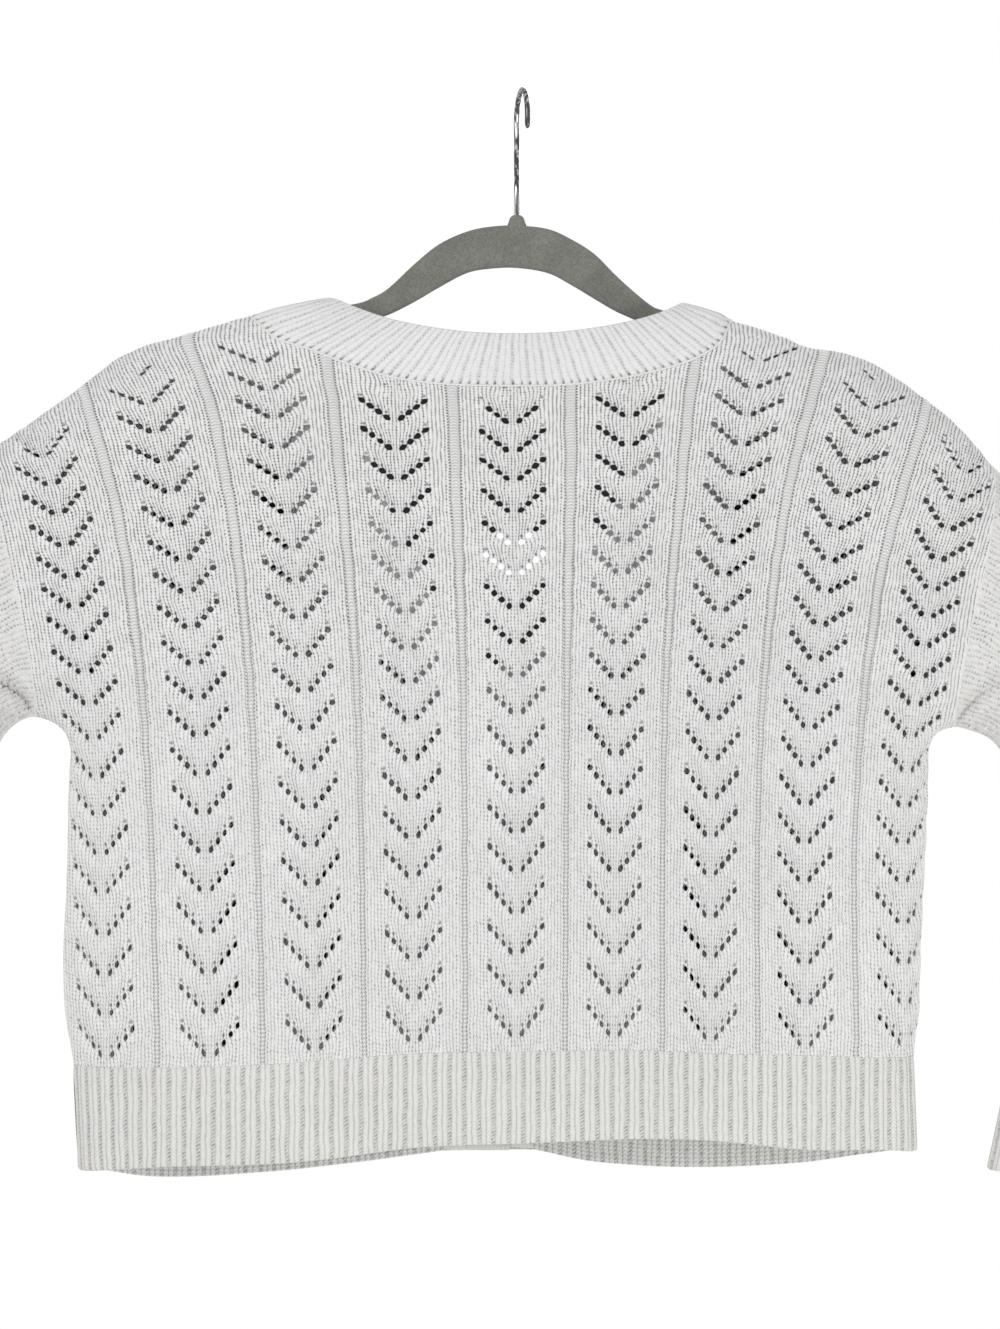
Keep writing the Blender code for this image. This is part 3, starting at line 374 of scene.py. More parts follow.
def smooth_along(knots, at):
    """A smooth curve through knots, read at fractional knot numbers."""
    knots = np.asarray(knots, float)
    padded = np.vstack([2 * knots[0] - knots[1], knots, 2 * knots[-1] - knots[-2]])
    at = np.clip(np.asarray(at, float), 0.0, len(knots) - 1.0)
    i = np.minimum(at.astype(int), len(knots) - 2)
    t = (at - i)[:, None]
    p0, p1, p2, p3 = padded[i], padded[i + 1], padded[i + 2], padded[i + 3]
    return 0.5 * (2 * p1 + (p2 - p0) * t + (2 * p0 - 5 * p1 + 4 * p2 - p3) * t ** 2
                  + (3 * p1 - p0 - 3 * p2 + p3) * t ** 3)


def spaced(knots, step, start=0.0, end=None):
    """Points about step apart along the smooth curve between two knot numbers."""
    end = len(knots) - 1.0 if end is None else end
    fine = np.linspace(start, end, 400)
    line = smooth_along(knots, fine)
    length = run_length(line)
    count = max(2, int(round(length[-1] / step)) + 1)
    return smooth_along(knots, np.interp(np.linspace(0.0, length[-1], count), length, fine))


def fold_chain(kind):
    """Knots of one long folded edge: over the shoulders, or down a sleeve's underside and the side."""
    left = SLEEVE["left"]
    right = SLEEVE["right"]
    if kind == "top":
        line = [CUFF_END["right"][:2]] + [row[:2] for row in right[::-1]] + SHOULDER["right"][::-1]
        return line + SHOULDER["left"] + [row[:2] for row in left] + [CUFF_END["left"][:2]]
    if kind == "left":
        return [CUFF_END["left"][2:4]] + [row[2:4] for row in left[::-1]] + SIDE["left"]
    return SIDE["right"][::-1] + [row[2:4] for row in right] + [CUFF_END["right"][2:4]]


def fold_lines():
    """The folded edges of the garment as fine segments with the cloth on their left."""
    starts = []
    ends = []
    for kind in ("top", "left", "right"):
        knots = fold_chain(kind)
        line = smooth_along(knots, np.linspace(0.0, len(knots) - 1.0, 6 * (len(knots) - 1) + 1))
        line = np.vstack([line[0] + (0.0, -60.0), line, line[-1] + (0.0, -60.0)])
        starts.append(line[:-1])
        ends.append(line[1:])
    return np.vstack(starts), np.vstack(ends)


FOLD_STARTS, FOLD_ENDS = fold_lines()


def distance_to_segments(points, starts, ends):
    """Distance of each point to each segment."""
    along = ends - starts
    offset = points[:, None, :] - starts[None]
    t = np.clip((offset * along).sum(2) / (along * along).sum(1), 0.0, 1.0)
    return np.linalg.norm(offset - t[..., None] * along, axis=2)


def edge_distance(points):
    """Distance to the nearest folded edge and the direction away from it."""
    nearest = []
    aways = []
    along = FOLD_ENDS - FOLD_STARTS
    inward = unit(np.stack([-along[:, 1], along[:, 0]], 1))
    for part in np.array_split(points, max(1, len(points) // 4000)):
        distance = distance_to_segments(part, FOLD_STARTS, FOLD_ENDS)
        away = (1.0 / (distance + 2.0) ** 4) @ inward
        nearest.append(distance.min(1))
        aways.append(unit(away))
    return np.concatenate(nearest), np.vstack(aways)


def soft_folds(points):
    """Height that the soft folds add at each point."""
    height = np.zeros(len(points))
    for x0, z0, x1, z1, half_width, rise in FOLDS:
        start = np.array([[x0, z0]], float)
        end = np.array([[x1, z1]], float)
        distance = distance_to_segments(points, start, end)[:, 0]
        height += rise * np.exp(-(distance / half_width) ** 2)
    return height


def hanging_waves(points, side):
    """Height of the long soft waves of the hanging cloth."""
    x = points[:, 0]
    z = points[:, 1]
    height = np.zeros(len(points))
    for rise, length, lean, phase in WAVES:
        height += rise * np.sin(2.0 * math.pi * (x + lean * z) / length + phase + 1.3 * side)
    return height


def lap(points):
    """Lift of the right front where its band lies on the left one."""
    across = 1.0 - ramp(points[:, 0], LAP_X_FULL, LAP_X_START)
    down = 1.0 - ramp(points[:, 1], LAP_FULL, LAP_TOP)
    return LAP_LIFT * across * down


def cloth_surface(points, side, lifted=False):
    """Outer cloth point and outward normal at each place of the flat plane.

    side is -1 on the back and 1 on the front.
    """
    points = np.asarray(points, float)
    inset, away = edge_distance(points)
    inset = np.where(inset < 0.05, 0.0, inset)
    reach = np.clip(inset / ROLL_WIDTH, 0.0, 1.0)
    roll = np.sqrt(1.0 - (1.0 - reach) ** 2)
    fill = HALF_DEPTH * (1.0 + SHOULDER_FILL * ramp(points[:, 1], SHOULDER_FILL_END, SHOULDER_FILL_TOP))
    depth = roll * (fill + soft_folds(points)) + ramp(inset, 0.0, 30.0) * hanging_waves(points, side)
    if lifted:
        depth = depth + lap(points)
    slope = fill / ROLL_WIDTH * (1.0 - reach) / np.maximum(roll, 0.001)
    y = side * (depth + 0.5 * SEAM_GAP)
    normal = np.stack([-away[:, 0] * slope, np.full(len(points), float(side)), -away[:, 1] * slope], 1)
    return np.stack([points[:, 0], y, points[:, 1]], 1), unit(normal)


def flatten_folds(points, places, normals, is_fold):
    """Puts the points on a folded edge at no depth, facing outwards."""
    _, away = edge_distance(points)
    for i in np.flatnonzero(is_fold):
        places[i] = (points[i][0], 0.0, points[i][1])
        normals[i] = (-away[i][0], 0.0, -away[i][1])


def moved(line, distance):
    """A line of flat points moved to its left."""
    line = np.asarray(line, float)
    step = np.gradient(line, axis=0)
    return line + distance * unit(np.stack([-step[:, 1], step[:, 0]], 1))


def superellipse(count):
    """Places across a sleeve section, 0 to 1, and depth shares, for its points from fold to fold."""
    angle = math.pi * np.arange(count + 1) / count
    power = 2.0 / SLEEVE_SQUARENESS
    across = rounded(np.cos(angle), power)
    return 0.5 * (1.0 - across), np.abs(np.sin(angle)) ** power


def armhole_line(hand):
    """The armhole seam, with its points spaced as those of the sleeve's first ring."""
    knots = ARMHOLE[hand]
    fine = np.linspace(0.0, len(knots) - 1.0, 400)
    line = smooth_along(knots, fine)
    length = run_length(line)
    share, _ = superellipse(AROUND_HALF)
    return smooth_along(knots, np.interp(share * length[-1], length, fine))


def column_places(z):
    """Middle of every chevron column at heights z, which flare towards the shoulders."""
    at = np.interp(z, COLUMN_HEIGHTS, np.arange(len(COLUMN_HEIGHTS)))
    return smooth_along(np.array(COLUMNS, float).T, at)


def row_offset(wale, z):
    """How far the rows lie off those of the middle column, and sag between hem and yoke."""
    offsets = np.array(ROW_OFFSETS, float)
    at = REPEAT_WALES * np.arange(len(offsets))
    low, sag, high = (np.interp(wale, at, offsets[:, column]) for column in range(3))
    share = np.clip((z - ROW_SAG_LOW) / (ROW_SAG_HIGH - ROW_SAG_LOW), 0.0, 1.0)
    return low + (high - low) * ramp(z, ROW_OFFSET_LOW, ROW_OFFSET_HIGH) + sag * np.sin(math.pi * share)


CHEVRON_LINE = np.array([CHEVRONS[0] - 60.0] + CHEVRONS + [CHEVRONS[-1] + 48.0])
COURSE_LINE = CHEVRON_COURSES * np.array([-2.6] + list(range(len(CHEVRONS))) + [len(CHEVRONS) + 2.0])


def knit_place(points):
    """The knit's own coordinates at flat places: wales from the first column, courses from the hem."""
    points = np.asarray(points, float)
    places = column_places(points[:, 1])
    last = len(COLUMNS) - 1
    second = np.clip((places < points[:, :1]).sum(1), 1, last)
    rows = np.arange(len(points))
    left = places[rows, second - 1]
    right = places[rows, second]
    wale = REPEAT_WALES * (second - 1 + (points[:, 0] - left) / (right - left))
    course = np.interp(points[:, 1] - row_offset(wale, points[:, 1]), CHEVRON_LINE, COURSE_LINE)
    return np.stack([wale, course], 1)


def flat_place(wale, course):
    """Flat places of wales and courses, the other way round from knit_place."""
    middle = np.interp(course, COURSE_LINE, CHEVRON_LINE)
    z = middle + row_offset(wale, middle)
    for _ in range(2):
        z = middle + row_offset(wale, z)
    places = column_places(z)
    first = np.clip((wale / REPEAT_WALES).astype(int), 0, len(COLUMNS) - 2)
    rows = np.arange(len(wale))
    share = wale / REPEAT_WALES - first
    x = places[rows, first] + share * (places[rows, first + 1] - places[rows, first])
    return np.stack([x, z], 1)


def knit_relief(knit):
    """How far the knit stands out at each place: the ropes, their grooves and the puffs between rows."""
    across = np.abs((knit[:, 0] + 15.0) % REPEAT_WALES - 15.0)
    from_rope = np.where(np.abs(knit[:, 0] - MIDDLE_WALE) < ROPED_WALES, 15.0 - across, 15.0)
    rope = ROPE_RISE * np.exp(-(from_rope / ROPE_HALF) ** 4)
    groove = -GROOVE_DEPTH * np.exp(-((from_rope - GROOVE_MIDDLE) / GROOVE_HALF) ** 2)
    phase = (knit[:, 1] - (across - EYELET_FIRST_WALE)) / CHEVRON_COURSES
    puff = PUFF_RISE * (0.5 - 0.5 * np.cos(2.0 * math.pi * phase)) * (1.0 - ramp(across, 7.5, 12.0))
    return rope + groove + puff


def inside(points, outline):
    """Which points lie inside a closed outline."""
    points = np.asarray(points, float)
    found = np.zeros(len(points), bool)
    for (x0, z0), (x1, z1) in zip(outline, np.roll(outline, -1, axis=0)):
        crosses = (z0 > points[:, 1]) != (z1 > points[:, 1])
        if z0 != z1:
            at = x0 + (points[:, 1] - z0) * (x1 - x0) / (z1 - z0)
            found ^= crosses & (points[:, 0] < at)
    return found


def clear_of_outline(points, outline, clearance):
    """Which points lie inside an outline and at least clearance from it."""
    found = []
    for part in np.array_split(np.asarray(points, float), max(1, len(points) // 3000)):
        distance = distance_to_segments(part, outline, np.roll(outline, -1, axis=0)).min(1)
        found.append(inside(part, outline) & (distance >= clearance))
    return np.concatenate(found)


def eyelet_centres(outline):
    """Places of the eyelets of all chevrons that fit into an outline, their sizes and their lean."""
    wales = []
    courses = []
    hands = []
    for column, (last_row, left_last, right_last) in enumerate(LAST_ROWS):
        for row in range(last_row + 1):
            for step in range(EYELETS_PER_ARM):
                for hand, in_last in ((-1, left_last), (1, right_last)):
                    if row < last_row or step < in_last:
                        offset = EYELET_FIRST_WALE + step * EYELET_STEP_WALES
                        wales.append(column * REPEAT_WALES + hand * offset)
                        courses.append(row * CHEVRON_COURSES + step * EYELET_STEP_COURSES)
                        hands.append(hand)
    centres = flat_place(np.array(wales), np.array(courses))
    fits = clear_of_outline(centres, outline, EYELET_EDGE_CLEAR)
    centres = centres[fits]
    table = np.array(EYELETS)
    chance = np.random.default_rng(7)
    width = np.interp(centres[:, 1], table[:, 0], table[:, 1])
    height = np.interp(centres[:, 1], table[:, 0], table[:, 2])
    lean = np.array(hands)[fits] * np.radians(np.interp(centres[:, 1], table[:, 0], table[:, 3]))
    inset, _ = edge_distance(centres)
    near_shoulder = (centres[:, 1] > -330.0) * (1.0 - ramp(inset, 8.0, 42.0))
    width *= chance.uniform(0.88, 1.14, len(centres))
    height *= chance.uniform(0.84, 1.1, len(centres)) * (1.0 - 0.38 * near_shoulder)
    return centres, width, height, lean


def eyelet_ring(centre, width, height, lean, grow):
    """Outline of one eyelet, a rounded diamond drawn out at its top."""
    across, up = rounded(circle_of(EYELET_CORNERS), 1.2).T
    across = (0.5 * width + grow) * across
    up = (0.5 * height + grow) * np.where(up > 0.9, 1.12, up)
    return np.stack([centre[0] + across * math.cos(lean) - up * math.sin(lean),
                     centre[1] + across * math.sin(lean) + up * math.cos(lean)], 1)


def triangulate(points, edges, outline, ring_of):
    """Triangles over points that keep the edges, lie in the outline and leave the rings open."""
    result = delaunay_2d_cdt([Vector(p) for p in points.tolist()], edges, [], 0, 1e-5, True)
    source = np.array([ids[0] for ids in result[3]])
    corners = source[np.array([list(face) for face in result[2] if len(face) == 3])]
    places = points[corners]
    first = places[:, 1] - places[:, 0]
    second = places[:, 2] - places[:, 0]
    area = 0.5 * np.abs(first[:, 0] * second[:, 1] - first[:, 1] * second[:, 0])
    rings = ring_of[corners]
    in_ring = (rings[:, 0] >= 0) & (rings[:, 0] == rings[:, 1]) & (rings[:, 0] == rings[:, 2])
    return corners[inside(places.mean(1), outline) & (area > SLIVER_AREA) & ~in_ring]


def outline_of(lines, folds):
    """One closed outline from lines that follow each other, and which of its points are folded."""
    outline = []
    is_fold = []
    for line, fold in zip(lines, folds):
        near = edge_distance(np.asarray(line, float))[0] < SEAM_GAP
        for point, touches in zip(line, near):
            if outline and np.hypot(*(np.array(outline[-1]) - point)) < SAME_POINT:
                is_fold[-1] = is_fold[-1] or fold or bool(touches)
                continue
            outline.append(tuple(point))
            is_fold.append(fold or bool(touches))
    if np.hypot(*(np.array(outline[0]) - outline[-1])) < SAME_POINT:
        is_fold[0] = is_fold[0] or is_fold[-1]
        is_fold.pop()
        outline.pop()
    return np.array(outline), np.array(is_fold)


def tree_of(points):
    """Flat points in a tree that finds the nearest one."""
    tree = KDTree(len(points))
    for number, point in enumerate(points):
        tree.insert((point[0], point[1], 0.0), number)
    tree.balance()
    return tree


def keep_clear(wanted, kept, clearance):
    """Those wanted points that lie at least clearance from all kept ones."""
    tree = tree_of(kept)
    return np.array([p for p in wanted if tree.find((p[0], p[1], 0.0))[2] >= clearance]).reshape(-1, 2)


def outside_eyelets(points, centres, width, height, lean):
    """Those points that lie outside every eyelet and its lip."""
    tree = tree_of(centres)
    kept = []
    for point in points:
        (x, z, _), number, _ = tree.find((point[0], point[1], 0.0))
        turn = complex(point[0] - x, point[1] - z) * complex(math.cos(lean[number]), -math.sin(lean[number]))
        across = turn.real / (0.5 * width[number] + EYELET_LIP)
        up = turn.imag / (0.5 * height[number] + EYELET_LIP)
        if across * across + up * up > 1.15:
            kept.append(point)
    return np.array(kept).reshape(-1, 2)


def in_neck_opening(points):
    """Which places of the back lie over the open V of the front."""
    left = np.array([row[2:] for row in FRONT_NECK["left"]], float)
    right = np.array([row[2:] for row in FRONT_NECK["right"]], float)
    from_left = np.interp(-points[:, 1], -left[:, 1], left[:, 0])
    from_right = np.interp(-points[:, 1], -right[:, 1], right[:, 0])
    return (points[:, 0] > from_left - NECK_MARGIN) & (points[:, 0] < from_right + NECK_MARGIN)


def rows_along_folds(outline, is_fold):
    """Rows of points close beside the folded edges, where the cloth turns fastest."""
    _, away = edge_distance(outline)
    rows = []
    for number, step in enumerate(EDGE_ROWS):
        stride = 1 if number < 3 else 2
        row = outline[is_fold][::stride] + step * away[is_fold][::stride]
        rows.append(row[clear_of_outline(row, outline, 0.75 * step)])
    return np.vstack(rows)


def knit_lattice(outline, course_step, clearance):
    """Points on the wales and courses of the knit inside an outline."""
    wales = [column * REPEAT_WALES + mark for column in range(1, len(COLUMNS) - 1) for mark in WALE_MARKS]
    wales += [REPEAT_WALES * (len(COLUMNS) - 2) + 15.0 + mark for mark in (0.0, 1.5, 3.0, 4.5, 6.0)]
    wales += [15.0 - mark for mark in (1.5, 3.0, 4.5, 6.0, 7.5, 9.0)]
    courses = np.arange(-12.0, CHEVRON_COURSES * len(CHEVRONS), course_step)
    grid = np.array([(w, c) for w in wales for c in courses])
    points = flat_place(grid[:, 0], grid[:, 1])
    return points[clear_of_outline(points, outline, clearance)]


def lining_grid(outline):
    """Evenly spaced points for the smooth inside of a panel."""
    low = outline.min(0)
    high = outline.max(0)
    grid = np.array([(x, z) for x in np.arange(low[0], high[0], LINING_STEP)
                     for z in np.arange(low[1], high[1], LINING_STEP)])
    return grid[clear_of_outline(grid, outline, LINING_CLEAR)]


def set_mesh(name, points, faces, material, knit=None, sharp=40.0):
    """A closed mesh object from points in millimetres, with the knit's coordinates as its UV map."""
    mesh = bpy.data.meshes.new(name)
    mesh.from_pydata((MM * np.asarray(points, float)).tolist(), [], [tuple(map(int, f)) for f in faces])
    solid = bmesh.new()
    solid.from_mesh(mesh)
    bmesh.ops.recalc_face_normals(solid, faces=solid.faces[:])
    solid.to_mesh(mesh)
    solid.free()
    if knit is not None:
        layer = mesh.uv_layers.new(name="knit")
        corner = np.empty(len(mesh.loops), int)
        mesh.loops.foreach_get("vertex_index", corner)
        layer.data.foreach_set("uv", np.asarray(knit, np.float32)[corner].ravel())
    mesh.shade_smooth()
    mesh.set_sharp_from_angle(angle=math.radians(sharp))
    mesh.materials.append(material)
    item = bpy.data.objects.new(name, mesh)
    bpy.context.scene.collection.objects.link(item)
    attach(item, BODY)
    return item


def has_painted_shadow_disc(centres, side):
    """Which eyelets get a black disc of painted shadow inside them: all of the fronts, and most of those
    over the open V.
    """
    if side > 0:
        return np.ones(len(centres), bool)
    left, low, high = PALE_EYELETS
    pale = (centres[:, 0] > left) & (centres[:, 1] > low) & (centres[:, 1] < high)
    return in_neck_opening(centres) & ~pale


def painted_shadow_discs(outer, inner, loops):
    """Thin closed black discs of painted shadow inside the eyelets that have these loops of points round
    their holes.

    The points of the discs are numbered on from those of the outer and inner cloth.
    """
    points = []
    faces = []
    for loop in loops:
        first = len(outer) + len(inner) + len(points)
        over = list(range(first, first + EYELET_CORNERS))
        under = [EYELET_CORNERS + point for point in over]
        faces += [tuple(over), tuple(under[::-1])] + wall_between(over, under)
        for depth in SHADOW_DISC_DEPTHS:
            points += list((1.0 - depth) * outer[loop] + depth * inner[loop])
    return points, faces


def panel(name, lines, folds, side, material, lifted=False, course_step=COURSE_STEP):
    """A thin panel of pointelle knit inside an outline, with every eyelet cut through and many of them
    closed inside by a black disc of painted shadow.
    """
    outline, is_fold = outline_of(lines, folds)
    eyelets = eyelet_centres(outline)
    holes, lips = (np.vstack([eyelet_ring(*eyelet, grow) for eyelet in zip(*eyelets)])
                   for grow in (0.0, EYELET_LIP))
    loops = loops_of([len(outline)] + [EYELET_CORNERS] * len(eyelets[0]))
    ring_of = np.repeat(np.arange(len(loops)) - 1, [len(loop) for loop in loops])
    rim = np.vstack([outline, holes])
    near_folds = outside_eyelets(rows_along_folds(outline, is_fold), *eyelets)
    lips = lips[clear_of_outline(lips, outline, 1.0)]
    lips = keep_clear(lips, np.vstack([holes, near_folds]), 0.4)
    stitches = outside_eyelets(knit_lattice(outline, course_step, LATTICE_RIM), *eyelets)
    stitches = keep_clear(stitches, np.vstack([rim, near_folds, lips]), LATTICE_CLEAR)
    smooth = outside_eyelets(lining_grid(outline), *eyelets)
    smooth = keep_clear(smooth, np.vstack([rim, near_folds]), LINING_CLEAR)
    sheets = []
    for loose in (np.vstack([near_folds, lips, stitches]), np.vstack([near_folds, smooth])):
        flat = np.vstack([rim, loose])
        labels = np.concatenate([ring_of, np.full(len(loose), -1)])
        faces = triangulate(flat, edges_round(loops), outline, labels)
        place, normal = cloth_surface(flat, side, lifted)
        folded = np.concatenate([is_fold, np.zeros(len(flat) - len(is_fold), bool)])
        flatten_folds(flat, place, normal, folded)
        sheets.append((flat, faces, place, normal))
    flat, faces, place, normal = sheets[0]
    lining_flat, lining_faces, lining_place, lining_normal = sheets[1]
    knit = knit_place(flat)
    rise = knit_relief(knit)
    rise[:len(outline)] = np.where(is_fold, rise[:len(outline)], 0.0)
    in_hole = slice(len(outline), len(rim))
    rise[in_hole] -= HOLE_SINK
    rise[len(rim):] += np.random.default_rng(11).normal(0.0, YARN_LUMPS, len(rise) - len(rim))
    outer = place + rise[:, None] * normal
    wall = np.full(len(lining_flat), KNIT_WALL)
    wall[in_hole] -= HOLE_THIN
    inner = lining_place - wall[:, None] * lining_normal
    shift = len(outer)
    rims = [face for loop in loops for face in wall_between(loop, [shift + point for point in loop])]
    # Painted shadow: black discs inside the walls close these eyelets, so they look dark from every side
    shadow_backed = np.flatnonzero(has_painted_shadow_disc(eyelets[0], side))
    shadow_disc_points, shadow_disc_faces = painted_shadow_discs(outer, inner, [loops[1 + ring] for ring in shadow_backed])
    points = np.vstack([outer, inner, shadow_disc_points])
    all_faces = faces.tolist() + (lining_faces + shift).tolist() + rims + shadow_disc_faces
    places = np.vstack([knit, knit_place(lining_flat), np.zeros((len(shadow_disc_points), 2))])
    item = set_mesh(name, points, all_faces, material, places, 60.0)
    item.data.materials.append(bpy.data.materials["painted shadow in eyelets"])
    for polygon in item.data.polygons[len(all_faces) - len(shadow_disc_faces):]:
        polygon.material_index = 1
    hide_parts(name.replace("knit_", ""))
    return item


def hem_lines(piece):
    """Flat knots of a hem piece: its seam line and its free edge, from left to right."""
    rows = [(x, x, seam, edge) for x, seam, edge in HEM[piece]]
    left_top, left_end = SIDE["left"][SIDE_HEM_ROW], SIDE["left"][-1]
    right_top, right_end = SIDE["right"][SIDE_HEM_ROW], SIDE["right"][-1]
    left = (left_top[0], left_end[0], left_top[1], left_end[1])
    right = (right_top[0], right_end[0], right_top[1], right_end[1])
    if piece == "left":
        right = hem_end("left")
    if piece == "right":
        left = hem_end("right")
    rows = np.array([left] + rows + [right], float)
    return rows[:, [0, 2]], rows[:, [1, 3]]


def hem_end(hand):
    """Where a front hem ends at its band."""
    seam = FRONT_NECK[hand][FRONT_HEM_SEAM_KNOT]
    edge = FRONT_NECK[hand][-1]
    return (seam[0], edge[0], seam[1], edge[1])


def back_knit(material):
    half = 0.5 * SEAM_GAP
    hem = spaced(hem_lines("back")[0], FOLD_STEP) + (0.0, half)
    left_side = side_fold("left")
    right_side = side_fold("right")
    neck = moved(spaced([row[:2] for row in BACK_NECK], 3.0), -half)
    lines = [hem, right_side[::-1][1:-1], moved(armhole_line("right"), -half)[::-1],
             shoulder_fold("right")[::-1][1:-1], neck[::-1], shoulder_fold("left")[1:-1],
             moved(armhole_line("left"), half), left_side[1:-1]]
    folds = [False, True, False, True, False, True, False, True]
    return panel("knit_back_panel", lines, folds, -1, material)


def front_knit(hand, material):
    half = 0.5 * SEAM_GAP
    toward = half if hand == "left" else -half
    hem = spaced(hem_lines(hand)[0], FOLD_STEP) + (0.0, half)
    neck = moved(spaced([row[:2] for row in FRONT_NECK[hand]], 3.0, 0.0, FRONT_HEM_SEAM_KNOT), -toward)
    arm = moved(armhole_line(hand), toward)
    side = side_fold(hand)
    shoulder = shoulder_fold(hand)
    if hand == "left":
        lines = [hem[:-1], neck[::-1], shoulder[1:-1], arm, side[1:-1]]
        folds = [False, False, True, False, True]
    else:
        lines = [hem[1:], side[::-1][1:-1], arm[::-1], shoulder[::-1][1:-1], neck]
        folds = [False, True, False, True, False]
    return panel(f"knit_front_{hand}_panel", lines, folds, 1, material, hand == "right", 2.0)


# Where the rings of a sleeve lie in the folded edges: number of the armhole's knot, step to the next ring
TOP_RINGS = {"left": (24, 1), "right": (9, -1)}
UNDER_RINGS = {"left": (9, -1), "right": (8, 1)}


def side_fold(hand):
    """The folded side of a panel, from the underarm down to the hem seam."""
    knots = fold_chain(hand)
    first, step = UNDER_RINGS[hand]
    line = spaced(knots, FOLD_STEP, *sorted((first, first - step * SIDE_HEM_ROW)))
    return line if hand == "left" else line[::-1]


def shoulder_fold(hand):
    """The folded shoulder of a panel, from the neck seam out to the armhole."""
    knots = fold_chain("top")
    armhole, step = TOP_RINGS[hand]
    neck = armhole - step * (len(SHOULDER[hand]) - 2)
    line = spaced(knots, FOLD_STEP, *sorted((armhole, neck)))
    return line if step > 0 else line[::-1]


def sleeve_section(hand, ring):
    """Flat points across a sleeve at a ring number: 0 at the armhole, 8 at the cuff seam, 9 at its end."""
    top, top_step = TOP_RINGS[hand]
    under, under_step = UNDER_RINGS[hand]
    outer = smooth_along(fold_chain("top"), [top + top_step * ring])[0]
    inner = smooth_along(fold_chain(hand), [under + under_step * ring])[0]
    share, _ = superellipse(AROUND_HALF)
    armhole = armhole_line(hand)
    bow = armhole - (armhole[0] + share[:, None] * (armhole[-1] - armhole[0]))
    return outer + share[:, None] * (inner - outer) + (1.0 - ramp(ring, 0.0, 1.5)) * bow


def sleeve_creases(ring, share, side):
    """Soft slanting creases of a hanging sleeve, none at the armhole."""
    slanted = 2.0 * math.pi * (0.85 * ring + 0.9 * share)
    steep = 2.0 * math.pi * (1.9 * ring - 1.1 * share)
    height = 1.0 * np.sin(slanted + 0.7 * side) + 0.55 * np.sin(steep + 1.9 + side)
    return height * ramp(ring, 0.0, 1.5) * (1.0 - ramp(ring, 7.0, 8.0)) * np.sin(math.pi * share)


def underarm_roll(hand, ring, share):
    """Height of the roll of cloth that hangs from the underarm, with a crease over it."""
    crease = 1.0 - 0.17 * min(ring, 2.0)
    sunk = np.exp(-((share - crease) / 0.03) ** 2)
    raised = 0.5 * np.exp(-((share - 0.5 * (1.0 + crease)) / 0.05) ** 2)
    return UNDERARM_CREASE[hand] * (raised - sunk) * ramp(ring, 0.0, 0.3) * (1.0 - ramp(ring, 2.0, 4.0))


def tube_ring(hand, ring):
    """Points and normals round a sleeve or cuff: down the back, then up the front."""
    flat = sleeve_section(hand, ring)
    share, depth_share = superellipse(AROUND_HALF)
    depths = [ARMHOLE_DEPTH] + [row[4] for row in SLEEVE[hand]] + [CUFF_END[hand][4]]
    half_depth = np.interp(ring, np.arange(len(depths)), depths)
    blend = float(ramp(ring, 0, SLEEVE_BLEND_RINGS))
    across = flat[-1] - flat[0]
    width = np.linalg.norm(across)
    across = across / width
    angle = math.pi * np.arange(AROUND_HALF + 1) / AROUND_HALF
    lean = -np.cos(angle) * half_depth
    _, away = edge_distance(flat)
    halves = []
    for side in (-1, 1):
        place, normal = cloth_surface(flat, side)
        creases = sleeve_creases(ring, share, side)
        depth = (1.0 - blend) * side * place[:, 1] + blend * (half_depth * depth_share + creases)
        if side == -1:
            depth += underarm_roll(hand, ring, share)
        depth[[0, -1]] = 0.0
        plain = unit(np.stack([across[0] * lean, 0.5 * side * width * np.sin(angle), across[1] * lean], 1))
        for end in (0, -1):
            normal[end] = (-away[end][0], 0.0, -away[end][1])
        normal = unit((1.0 - blend) * normal + blend * plain)
        halves.append((np.stack([flat[:, 0], side * depth, flat[:, 1]], 1), normal))
    (back, back_normal), (front, front_normal) = halves
    return np.vstack([back, front[::-1][1:-1]]), np.vstack([back_normal, front_normal[::-1][1:-1]])


def shell(name, outer, inner, closed, material, knit, turn=None):
    """A thin wall between two grids of points, rows by columns, closed round the rows or open.

    turn is how much the first knit coordinate grows in one turn of a closed grid.
    """
    rows, columns = outer.shape[:2]
    ids = np.arange(rows * columns).reshape(rows, columns)
    if closed:
        ids = np.hstack([ids, ids[:, :1]])
    shift = rows * columns
    cells = np.stack([ids[:-1, :-1], ids[:-1, 1:], ids[1:, 1:], ids[1:, :-1]], -1).reshape(-1, 4)
    faces = [cells, cells[:, ::-1] + shift]
    edges = [ids[0], ids[-1]] if closed else [ids[0], ids[-1], ids[:, 0], ids[:, -1]]
    for edge in edges:
        faces.append(np.stack([edge[:-1], edge[1:], edge[1:] + shift, edge[:-1] + shift], 1))
    points = np.vstack([outer.reshape(-1, 3), inner.reshape(-1, 3)])
    places = np.vstack([knit.reshape(-1, 2)] * 2)
    item = set_mesh(name, points, np.vstack(faces).tolist(), material, places, 60.0)
    if turn:
        layer = item.data.uv_layers["knit"].data
        uv = np.empty(2 * len(layer), np.float32)
        layer.foreach_get("uv", uv)
        uv = uv.reshape(-1, 4, 2)
        far = (uv[:, :, 0].max(1) - uv[:, :, 0].min(1)) > 0.5 * turn
        low = far[:, None] & (uv[:, :, 0] < 0.5 * turn)
        uv[:, :, 0] += turn * low
        layer.foreach_set("uv", uv.ravel())
    return item


